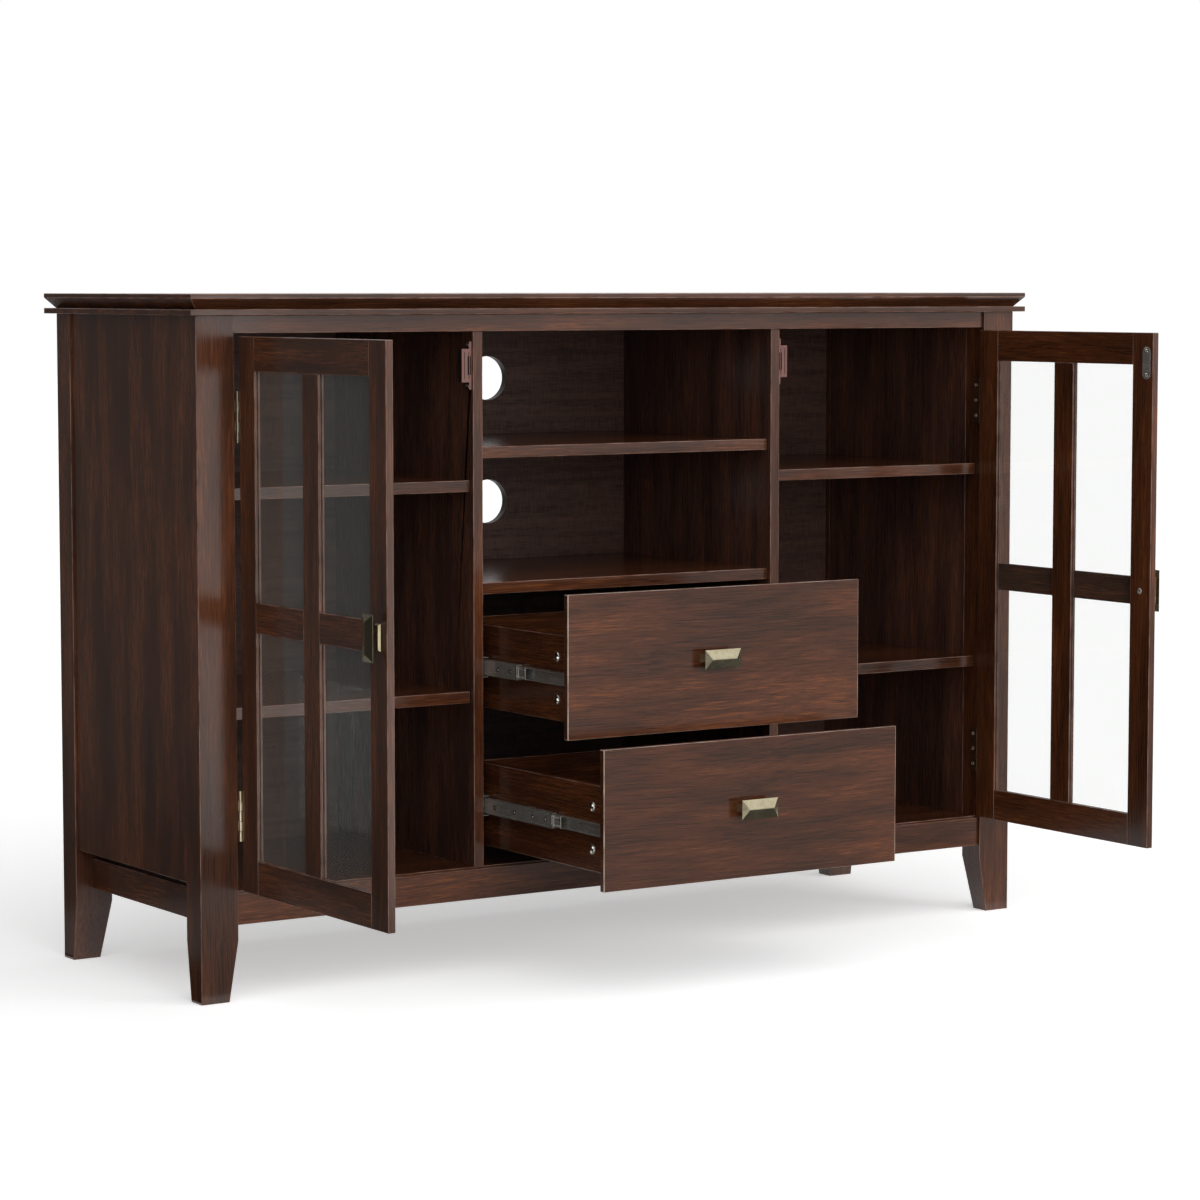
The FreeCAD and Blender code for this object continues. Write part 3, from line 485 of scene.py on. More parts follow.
@dataclass(frozen=True)
class MouldedPlastic:
    """Moulded ABS with a fine spark-eroded grain, with a reddish front and near-black sides.

    It gives the eye an even colour with a soft, broken sheen. The near-black of the sides is partly black
    plastic and partly painted shade.
    """

    name: str
    body: str
    shade: str
    side: str
    # The moulded grain is about 0.1 mm; it is drawn as 0.7 mm so that it shows.
    grain_mm: float = 0.7
    roughness: float = 0.42
    # A face is the reddish front where its normal's Y is less than this; every other face is painted near
    # black, partly as painted shade.
    front_facing: float = -0.8
    relief: float = 0.2
    relief_mm: float = 0.05

    def paint(self) -> bpy.types.Material:
        """Grain the plastic, redden its front and paint its other faces near black, partly as painted shade.

        Returns:
            The plastic's material.
        """
        material, tree, shader, place = blank(self.name)
        grit = add(
            tree, "ShaderNodeTexNoise", {"Vector": place, "Scale": 1 / (self.grain_mm * MM), "Detail": 1.0}
        ).outputs[0]
        front = add(
            tree, "ShaderNodeValToRGB", {0: grit}, ((NOISE_LOW, self.shade), (NOISE_HIGH, self.body))
        ).outputs[0]
        normal = add(tree, "ShaderNodeNewGeometry").outputs["True Normal"]
        facing = add(tree, "ShaderNodeSeparateXYZ", {0: normal})
        ahead = add(
            tree, "ShaderNodeMath", {0: facing.outputs[1], 1: self.front_facing}, operation="LESS_THAN"
        ).outputs[0]
        # The faces that don't look to the front take the near-black side colour: partly black plastic, partly
        # painted shade.
        colour = add(
            tree, "ShaderNodeMix", {0: ahead, 6: linear(self.side), 7: front}, data_type="RGBA"
        )
        bump = add(
            tree, "ShaderNodeBump",
            {"Height": grit, "Strength": self.relief, "Distance": self.relief_mm * MM},
        )
        tree.links.new(colour.outputs[2], shader.inputs["Base Color"])
        tree.links.new(bump.outputs[0], shader.inputs["Normal"])
        shader.inputs["Roughness"].default_value = self.roughness
        return material


Finish = WalnutFoil | RubbedHighlitArris | LinenBoard | FloatGlass | PlatedMetal | MouldedPlastic

# The posts stand where hands and legs brush past, so their lacquer is duller.
POST_FOIL = WalnutFoil(Grain.UPRIGHT, "worn_walnut_foil", roughness=(0.2, 0.27))
# The foil on the faces inside the bays is painted greyer than the foil outside, as painted shade for the bays'
# deep shade.
SHADED_BAY_FOIL = WalnutFoil(Grain.UPRIGHT, "bay_walnut_foil", deep="#2d1d1a", body="#472d24", light="#5c3c31")
ARRIS = RubbedHighlitArris()
# The drawer fronts' arris is paler still: wear, and a painted highlight along their edges.
DRAWER_ARRIS = RubbedHighlitArris("worn_drawer_arris", "#b09c90", "#7f6557")
BACK_BOARD = LinenBoard()
GLASS = FloatGlass()
PULL_BRASS = PlatedMetal("satin_antique_brass", "#c3ba9d", "#b3a888", (0.12, 0.2), (14.0, 14.0, 14.0), 9.0)
HINGE_BRASS = PlatedMetal("brass_plated_steel", "#dfd4b9", "#c9bb9a", (0.14, 0.22), (9.0, 9.0, 9.0))
LEAF_PLATE_BROWN = PlatedMetal("bronzed_steel", "#5c3d2c", "#4a2f20", (0.28, 0.4), (9.0, 9.0, 9.0), 14.0, 0.5)
ZINC_STEEL = PlatedMetal("zinc_plated_steel", "#b3b1aa", "#a6a49e", (0.2, 0.3), (4.0, 60.0, 4.0), 22.0, 0.7)
STAMPED_STEEL = PlatedMetal("oiled_stamping", "#46443f", "#2c2a27", (0.4, 0.6), (3.0, 3.0, 3.0), 5.0)
BRIGHT_STEEL = PlatedMetal("nickel_plated_steel", "#e2dfd8", "#c9c5bd", (0.06, 0.14))
# The catch's sides are painted near black, partly as painted shade.
CATCH_PLASTIC = MouldedPlastic("moulded_abs_brown", "#835a53", "#704a44", "#0d1112")
SLOT_FINISH: dict[str, Finish] = {
    "back_board": BACK_BOARD, "glass": GLASS, "pull_brass": PULL_BRASS, "hinge_brass": HINGE_BRASS,
    "zinc_steel": ZINC_STEEL, "bright_steel": BRIGHT_STEEL, "catch_plastic": CATCH_PLASTIC,
}


@cache
def material_of(finish: Finish) -> bpy.types.Material:
    """Make a finish's material once and hand it out after that."""
    return finish.paint()


def slot_of(node: str) -> str:
    """The record's material slot of a CAD node."""
    return next(row["material_slot"] for row in frame["record"]["subparts"] if row["node"] == node)


# Corners that lie closer together than these are one corner, in a rounded board and in a search for solids.
WELD_MM = 0.01
SEAM_MM = 0.001
# Faces that meet flatter than the first are one plane, edges sharper than the second are rounded, and a piece
# that isn't a board stays crisp at edges sharper than the third.
PLANE_DEG = 1
ROUND_DEG = 35
CRISP_DEG = 12
ROUND_SEGMENTS = 2
# The highest weight for broad faces, so that a board stays flat beside its rounding.
FACE_WEIGHT = 100


def coat(node: str, *finishes: Finish) -> None:
    """Give a CAD node its finishes.

    Args:
        node: the node's name.
        finishes: the first is for every face, and the others are for the arrises or for faces that are marked.
    """
    mesh = frame["nodes"][node].data
    mesh.materials.clear()
    for finish in finishes:
        mesh.materials.append(material_of(finish))


def ease(node: str, width_mm: float, board: bool) -> None:
    """Round the edges of a CAD node with modifiers.

    Args:
        node: the node's name.
        width_mm: width of the rounding.
        board: whether it is a board, whose rounding takes the node's second finish.
    """
    item = frame["nodes"][node]
    weld = item.modifiers.new("weld", "WELD")
    weld.merge_threshold = WELD_MM * MM
    flat = item.modifiers.new("planes", "DECIMATE")
    flat.decimate_type = "DISSOLVE"
    flat.angle_limit = math.radians(PLANE_DEG)
    bevel = item.modifiers.new("arris", "BEVEL")
    bevel.width = width_mm * MM
    bevel.segments = ROUND_SEGMENTS
    bevel.limit_method = "ANGLE"
    bevel.angle_limit = math.radians(ROUND_DEG)
    bevel.use_clamp_overlap = False
    if board:
        bevel.material = 1
        shade = item.modifiers.new("flat_faces", "WEIGHTED_NORMAL")
        shade.weight = FACE_WEIGHT
    else:
        split = item.modifiers.new("crisp_edges", "EDGE_SPLIT")
        split.split_angle = math.radians(CRISP_DEG)


def islands(node: str) -> list[tuple[Vector, Vector]]:
    """Find the separate solids of a CAD node.

    Args:
        node: the node's name.

    Returns:
        The lowest and highest corner of each solid.
    """
    shape = bmesh.new()
    shape.from_mesh(frame["nodes"][node].data)
    bmesh.ops.remove_doubles(shape, verts=shape.verts, dist=SEAM_MM * MM)
    boxes = []
    waiting = set(shape.verts)
    while waiting:
        front = [waiting.pop()]
        found = []
        while front:
            vert = front.pop()
            found.append(vert.co.copy())
            for edge in vert.link_edges:
                other = edge.other_vert(vert)
                if other in waiting:
                    waiting.remove(other)
                    front.append(other)
        boxes.append((
            Vector(min(c[i] for c in found) for i in range(3)),
            Vector(max(c[i] for c in found) for i in range(3)),
        ))
    shape.free()
    return boxes


def own(name: str, mesh: bpy.types.Mesh, body: str) -> bpy.types.Object:
    """Put a finished mesh in the scene and let it ride.

    Args:
        name: the piece's name.
        mesh: its mesh, in the frame of the whole object.
        body: the CAD body that carries it.

    Returns:
        The new object.
    """
    piece = bpy.data.objects.new(name, mesh)
    bpy.context.scene.collection.objects.link(piece)
    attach(piece, body)
    LOG.info("%s rides on %s", name, body)
    return piece


def plain_mesh(maker: bpy.types.Object, name: str) -> bpy.types.Mesh:
    """Turn an object's evaluated shape into a plain mesh and remove the object.

    Args:
        maker: the object whose modifiers make the shape.
        name: the mesh's name.

    Returns:
        The finished mesh.
    """
    graph = bpy.context.evaluated_depsgraph_get()
    mesh = bpy.data.meshes.new_from_object(maker.evaluated_get(graph))
    mesh.name = name
    for index in reversed(range(len(mesh.materials))):
        if mesh.materials[index] is None:
            mesh.materials.pop(index=index)
    source = maker.data
    maker.modifiers.clear()
    bpy.data.objects.remove(maker)
    bpy.data.meshes.remove(source)
    return mesh


def run_tree(
    name: str, tree: bpy.types.NodeTree, points: list[Vector], facing: list[Vector], values: dict[str, Any]
) -> bpy.types.Mesh:
    """Run a node tree on seats and turn the result into a plain mesh.

    Args:
        name: the mesh's name.
        tree: the node tree.
        points: where the tree sets its pieces.
        facing: which way each piece faces, or an empty list where the tree doesn't ask.
        values: the tree's other inputs, by name.

    Returns:
        The finished mesh.
    """
    seats = bpy.data.meshes.new(name + "_seats")
    seats.from_pydata(points, [], [])
    if facing:
        ways = seats.attributes.new("facing", "FLOAT_VECTOR", "POINT")
        for index, way in enumerate(facing):
            ways.data[index].vector = way
    maker = bpy.data.objects.new(name + "_maker", seats)
    bpy.context.scene.collection.objects.link(maker)
    modifier = maker.modifiers.new(tree.name, "NODES")
    modifier.node_group = tree
    for item in tree.interface.items_tree:
        if item.in_out == "INPUT" and item.name in values:
            modifier[item.identifier] = values[item.name]
    return plain_mesh(maker, name)


@dataclass
class Seat:
    """A place on the object with the direction that it faces."""

    point: Vector
    facing: Vector


# The sizes of a domed head, as the inputs of its node tree are named.
HEAD_SIZES = ("Diameter", "Height", "Recess Length", "Recess Width", "Recess Depth")


@dataclass
class DomedHeads:
    """Domed heads set on seats: screws with a cross recess, cam-lock caps, rivets and balls."""

    diameter_mm: float
    height_mm: float
    finish: PlatedMetal
    recess_mm: tuple[float, float, float] = (0.0, 0.0, 0.0)
    segments: int = 24
    rings: int = 12

    def tree(self) -> bpy.types.NodeTree:
        """Build the node tree that sets one head on every seat.

        Returns:
            A tree with named inputs for the head's sizes and its material.
        """
        tree = bpy.data.node_groups.new("domed_heads", "GeometryNodeTree")
        face = tree.interface
        face.new_socket("Seats", in_out="INPUT", socket_type="NodeSocketGeometry")
        for name in HEAD_SIZES:
            face.new_socket(name, in_out="INPUT", socket_type="NodeSocketFloat")
        face.new_socket("Metal", in_out="INPUT", socket_type="NodeSocketMaterial")
        face.new_socket("Heads", in_out="OUTPUT", socket_type="NodeSocketGeometry")
        given = add(tree, "NodeGroupInput").outputs
        ball = add(
            tree, "GeometryNodeMeshUVSphere", {"Segments": self.segments, "Rings": self.rings, "Radius": 0.5}
        )
        twice = add(tree, "ShaderNodeMath", {0: given["Height"], 1: 2.0}, operation="MULTIPLY")
        size = add(
            tree, "ShaderNodeCombineXYZ", {0: given["Diameter"], 1: given["Diameter"], 2: twice.outputs[0]}
        )
        dome = add(tree, "GeometryNodeTransform", {"Geometry": ball.outputs[0], "Scale": size.outputs[0]})
        deep = add(tree, "ShaderNodeMath", {0: given["Recess Depth"], 1: 2.0}, operation="MULTIPLY")
        top = add(tree, "ShaderNodeCombineXYZ", {2: given["Height"]})
        bars = []
        for first, second in (("Recess Length", "Recess Width"), ("Recess Width", "Recess Length")):
            span = add(tree, "ShaderNodeCombineXYZ", {0: given[first], 1: given[second], 2: deep.outputs[0]})
            bar = add(tree, "GeometryNodeMeshCube", {"Size": span.outputs[0]})
            bars.append(add(
                tree, "GeometryNodeTransform", {"Geometry": bar.outputs[0], "Translation": top.outputs[0]}
            ).outputs[0])
        head = dome
        if self.recess_mm[-1]:
            parts = {"Mesh 1": dome.outputs[0], "Mesh 2": bars}
            head = add(tree, "GeometryNodeMeshBoolean", parts, operation="DIFFERENCE")
        facing = add(tree, "GeometryNodeInputNamedAttribute", {"Name": "facing"}, data_type="FLOAT_VECTOR")
        turn = add(tree, "FunctionNodeAlignRotationToVector", {"Vector": facing.outputs[0]}, axis="Z")
        placed = add(
            tree, "GeometryNodeInstanceOnPoints",
            {"Points": given["Seats"], "Instance": head.outputs[0], "Rotation": turn.outputs[0]},
        )
        real = add(tree, "GeometryNodeRealizeInstances", {"Geometry": placed.outputs[0]})
        smooth = add(tree, "GeometryNodeSetShadeSmooth", {"Geometry": real.outputs[0]})
        metal = add(
            tree, "GeometryNodeSetMaterial", {"Geometry": smooth.outputs[0], "Material": given["Metal"]}
        )
        add(tree, "NodeGroupOutput", {"Heads": metal.outputs[0]})
        return tree

    def build(self, name: str, seats: list[Seat], body: str, slot: str) -> bpy.types.Object:
        """Set the heads and make them one plain mesh.

        Args:
            name: the piece's name.
            seats: where the heads sit and which way they face.
            body: the CAD body that carries them.
            slot: the record's material slot; not used.

        Returns:
            The finished piece.
        """
        sizes = (self.diameter_mm, self.height_mm, *self.recess_mm)
        values: dict[str, Any] = {label: size * MM for label, size in zip(HEAD_SIZES, sizes)}
        values["Metal"] = material_of(self.finish)
        points, facing = [seat.point for seat in seats], [seat.facing for seat in seats]
        return own(name, run_tree(name, self.tree(), points, facing, values), body)


@dataclass
class Strips:
    """Small bars set on seats: dark slots of a catch, partly painted shade, end stops and cage ends of a
    slide.
    """

    size_mm: tuple[float, float, float]
    finish: PlatedMetal

    def tree(self) -> bpy.types.NodeTree:
        """Build the node tree that sets one bar on every seat.

        Returns:
            A tree with named inputs for the bar's size and its material.
        """
        tree = bpy.data.node_groups.new("strips", "GeometryNodeTree")
        face = tree.interface
        face.new_socket("Seats", in_out="INPUT", socket_type="NodeSocketGeometry")
        face.new_socket("Size", in_out="INPUT", socket_type="NodeSocketVector")
        face.new_socket("Metal", in_out="INPUT", socket_type="NodeSocketMaterial")
        face.new_socket("Strips", in_out="OUTPUT", socket_type="NodeSocketGeometry")
        given = add(tree, "NodeGroupInput").outputs
        bar = add(tree, "GeometryNodeMeshCube", {"Size": given["Size"]})
        placed = add(
            tree, "GeometryNodeInstanceOnPoints", {"Points": given["Seats"], "Instance": bar.outputs[0]}
        )
        real = add(tree, "GeometryNodeRealizeInstances", {"Geometry": placed.outputs[0]})
        metal = add(
            tree, "GeometryNodeSetMaterial", {"Geometry": real.outputs[0], "Material": given["Metal"]}
        )
        add(tree, "NodeGroupOutput", {"Strips": metal.outputs[0]})
        return tree

    def build(self, name: str, points: list[Vector], body: str, slot: str) -> bpy.types.Object:
        """Set the bars and make them one plain mesh.

        Args:
            name: the piece's name.
            points: the middles of the bars.
            body: the CAD body that carries them.
            slot: the record's material slot; not used.

        Returns:
            The finished piece.
        """
        values = {"Size": tuple(size * MM for size in self.size_mm), "Metal": material_of(self.finish)}
        return own(name, run_tree(name, self.tree(), points, [], values), body)


SCREW = DomedHeads(6.0, 0.9, BRIGHT_STEEL, (3.4, 0.8, 0.6))
HINGE_SCREW = DomedHeads(6.0, 0.9, HINGE_BRASS, (3.4, 0.8, 0.6))
STRIKE_SCREW = DomedHeads(6.4, 1.5, BRIGHT_STEEL, (3.0, 0.7, 0.5))
PULL_SCREW = DomedHeads(9.0, 2.0, ZINC_STEEL, (5.2, 1.1, 1.3))
CAM_LOCK = DomedHeads(13.0, 3.2, BRIGHT_STEEL, segments=32, rings=16)
# A flat dark disc under each rivet: painted shade of a stamped hole.
HOLE_SHADE_DISC = DomedHeads(6.4, 0.2, STAMPED_STEEL, segments=20, rings=8)
RIVET = DomedHeads(3.4, 0.7, BRIGHT_STEEL, segments=16, rings=8)
BALL = DomedHeads(2.6, 0.4, BRIGHT_STEEL, segments=12, rings=8)
# Dark strips for the catch's poles in their slots: partly the poles' steel, partly painted shade in the slots.
CATCH_SLOT_SHADE = Strips((1.0, 0.3, 36.0), STAMPED_STEEL)
END_STOP = Strips((0.5, 1.4, 20.0), BRIGHT_STEEL)
CAGE_END = Strips((0.5, 1.2, 15.0), BRIGHT_STEEL)


@dataclass
class Pull:
    """A cast brass pull: a hipped head with a thin rim, on a neck that spreads at its foot."""

    length_mm: float = 57.0
    width_mm: float = 25.4
    standoff_mm: float = 14.5
    rim_mm: float = 0.15
    rise_mm: float = 4.5
    ridge_mm: tuple[float, float] = (39.0, 0.8)
    root_mm: tuple[float, float] = (38.0, 13.0)
    neck_mm: tuple[float, float] = (29.0, 9.0)
    foot_mm: tuple[float, float] = (33.0, 12.5)
    spread_mm: float = 2.8

    def levels(self) -> list[tuple[float, float, float]]:
        """List the pull's outline, level by level from its foot to its ridge.

        Returns:
            Height, length and width at each level.
        """
        under = self.standoff_mm - self.rim_mm
        return [
            (0.0, *self.foot_mm),
            (self.spread_mm, *self.neck_mm),
            (under, *self.root_mm),
            (under, self.length_mm, self.width_mm),
            (self.standoff_mm, self.length_mm, self.width_mm),
            (self.standoff_mm + self.rise_mm, *self.ridge_mm),
        ]

    def build(self, node: str, body: str, sign: int) -> None:
        """Make the pull in the place of its CAD node.

        Args:
            node: the CAD node.
            body: the CAD body that carries it.
            sign: 1 if the pull faces the high end of its thin axis, else -1.
        """
        low, high = (Vector(corner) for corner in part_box(node))
        size = high - low
        out, across, along = sorted(range(3), key=lambda axis: size[axis])
        foot = low if sign > 0 else high
        middle = (low + high) / 2
        shape = bmesh.new()
        rings = []
        for height, length, width in self.levels():
            ring = []
            for end, side in ((-1, -1), (1, -1), (1, 1), (-1, 1)):
                corner = middle.copy()
                corner[out] = foot[out] + sign * height * MM
                corner[along] += end * length / 2 * MM
                corner[across] += side * width / 2 * MM
                ring.append(shape.verts.new(corner))
            rings.append(ring)
        for lower, upper in zip(rings, rings[1:]):
            for index in range(4):
                after = (index + 1) % 4
                shape.faces.new((lower[index], lower[after], upper[after], upper[index]))
        shape.faces.new(rings[0])
        shape.faces.new(rings[-1])
        bmesh.ops.recalc_face_normals(shape, faces=shape.faces)
        mesh = bpy.data.meshes.new(f"{node}_cast")
        shape.to_mesh(mesh)
        shape.free()
        mesh.materials.append(material_of(PULL_BRASS))
        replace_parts(own(f"{node}_cast", mesh, body), node)


PULL = Pull()


def head_seat(box: tuple[Vector, Vector], axis: int, sign: int, height_mm: float) -> Seat:
    """Find the seat of a screw's head from the box of the whole screw.

    Args:
        box: lowest and highest corner of the screw.
        axis: 0, 1 or 2 for the axis that it lies along.
        sign: 1 if its head is at the high end of that axis, else -1.
        height_mm: height of the head.

    Returns:
        The seat under the head.
    """
    low, high = box
    point = (low + high) / 2
    end = high if sign > 0 else low
    point[axis] = end[axis] - sign * height_mm * MM
    facing = Vector((0.0, 0.0, 0.0))
    facing[axis] = sign
    return Seat(point, facing)


@dataclass
class Carcass:
    """The fixed cabinet: boards, posts, shelves, hinges on the posts and catches on the dividers."""

    arris_mm: float = 0.9
    metal_arris_mm: float = 0.2
    plastic_arris_mm: float = 0.6
    # A face that looks along X this squarely is the side of a wall or the plate of a hinge leaf.
    square_on: float = 0.99
    # The plate of a hinge leaf, coloured a dull brown, starts this far along Y, and the knuckles in front of
    # it are bright.
    plate_from_mm: float = -22.0
    # Screws nearer to the middle than this hold a catch, and the others hold a hinge leaf.
    catch_reach_mm: float = 400.0
    # The two slots of a catch lie this far to each side of its middle.
    slot_offset_mm: float = 3.3
    across: tuple[str, ...] = (
        "top_board", "top_slab", "front_top_rail", "front_bottom_rail", "bottom_panel", "drawer_shelf",
        "centre_shelf", "side_shelves",
    )
    upright: tuple[str, ...] = ("left_side_panel", "right_side_panel")
    walls: tuple[str, ...] = ("left_lining", "right_lining", "left_divider", "right_divider")
    posts: tuple[str, ...] = ("left_front_post", "right_front_post", "left_back_post", "right_back_post")
    deep: tuple[str, ...] = ("side_rails",)
    fittings: tuple[str, ...] = ("catch_housings", "hinge_pins", "slide_cabinet_members")

    def build(self) -> None:
        """Set the screws of the catches and of the hinge leaves, and the dark strips of the slots in the face
        of each catch, partly painted shade.
        """
        catch, hinge = [], []
        for box in islands("carcass_screws"):
            outward = 1 if box[0].x > 0 else -1
            if abs(box[0].x) < self.catch_reach_mm * MM:
                catch.append(head_seat(box, 0, outward, SCREW.height_mm))
            else:
                hinge.append(head_seat(box, 0, -outward, HINGE_SCREW.height_mm))
        heads = SCREW.build("catch_screw_heads", catch, "cabinet", "bright_steel")
        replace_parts(heads, "carcass_screws")
        HINGE_SCREW.build("post_leaf_screw_heads", hinge, "cabinet", "hinge_brass")
        slots = []
        for low, high in islands("catch_housings"):
            middle = (low + high) / 2
            for side in (-1, 1):
                slots.append(Vector((middle.x + side * self.slot_offset_mm * MM, low.y, middle.z)))
        faces = CATCH_SLOT_SHADE.build("catch_slots", slots, "cabinet", slot_of("catch_poles"))
        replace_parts(faces, "catch_poles")

    def dress(self) -> None:
        """Give every board its grain and every fitting its metal or plastic."""
        for foil, names in (
            (WalnutFoil(Grain.ACROSS), self.across),
            (WalnutFoil(Grain.UPRIGHT), self.upright),
            (WalnutFoil(Grain.DEEP), self.deep),
            (POST_FOIL, self.posts),
        ):
            for name in names:
                coat(name, foil, ARRIS)
                ease(name, self.arris_mm, True)
        for name in self.walls:
            coat(name, WalnutFoil(Grain.UPRIGHT), ARRIS, SHADED_BAY_FOIL)
            # The faces that look along X, inside the bays, take the greyer foil as painted shade.
            for face in frame["nodes"][name].data.polygons:
                face.material_index = 2 if abs(face.normal.x) > self.square_on else 0
            ease(name, self.arris_mm, True)
        coat("back_panel", BACK_BOARD)
        for name in self.fittings:
            coat(name, SLOT_FINISH[slot_of(name)])
        coat("shelf_pegs", STAMPED_STEEL)
        coat("hinge_post_leaves", HINGE_BRASS, LEAF_PLATE_BROWN)
        # The faces of the plate are coloured a dull brown, darker than the bright knuckles of the same leaf.
        for face in frame["nodes"]["hinge_post_leaves"].data.polygons:
            plate = abs(face.normal.x) > self.square_on and face.center.y > self.plate_from_mm * MM
            face.material_index = 1 if plate else 0
        ease("catch_housings", self.plastic_arris_mm, False)
        ease("hinge_post_leaves", self.metal_arris_mm, False)
        boards = self.across + self.upright + self.walls + self.deep + self.posts
        LOG.info("carcass: %d boards dressed", len(boards))


@dataclass
class GlassDoor:
    """One framed glass door, open square to the front."""

    side: Side
    arris_mm: float = 0.8
    metal_arris_mm: float = 0.3
    strike_arris_mm: float = 1.0
    # The pull's screw has a head wider than this. A hinge's screw is driven along Y, and a strike's along X.
    pull_head_mm: float = 8.0

    @property
    def name(self) -> str:
        """The door's body."""
        return f"{self.side.name.lower()}_door"

    def build(self) -> None:
        """Set the screws of the hinge leaves, the strike plate and the pull."""
        hinge, strike, pull = [], [], []
        for box in islands(f"{self.name}_screws"):
            size = box[1] - box[0]
            if size.z > self.pull_head_mm * MM:
                pull.append(head_seat(box, 0, -self.side.value, PULL_SCREW.height_mm))
            elif size.y > size.x:
                hinge.append(head_seat(box, 1, 1, HINGE_SCREW.height_mm))
            else:
                strike.append(head_seat(box, 0, -self.side.value, STRIKE_SCREW.height_mm))
        heads = HINGE_SCREW.build(f"{self.name}_leaf_screw_heads", hinge, self.name, "hinge_brass")
        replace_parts(heads, f"{self.name}_screws")
        STRIKE_SCREW.build(f"{self.name}_strike_screw_heads", strike, self.name, "bright_steel")
        PULL_SCREW.build(f"{self.name}_pull_screw_head", pull, self.name, slot_of(f"{self.name}_screws"))
        PULL.build(f"{self.name}_pull", self.name, self.side.value)

    def dress(self) -> None:
        """Give the frame its grain and the rest its glass and metal."""
        for part, grain in (("stiles", Grain.UPRIGHT), ("muntin", Grain.UPRIGHT), ("rails", Grain.DEEP)):
            coat(f"{self.name}_{part}", WalnutFoil(grain), ARRIS)
            ease(f"{self.name}_{part}", self.arris_mm, True)
        for part in ("glass", "hinge_leaves", "strike_plate"):
            node = f"{self.name}_{part}"
            coat(node, SLOT_FINISH[slot_of(node)])
        ease(f"{self.name}_hinge_leaves", self.metal_arris_mm, False)
        ease(f"{self.name}_strike_plate", self.strike_arris_mm, False)
        LOG.info("%s dressed", self.name)


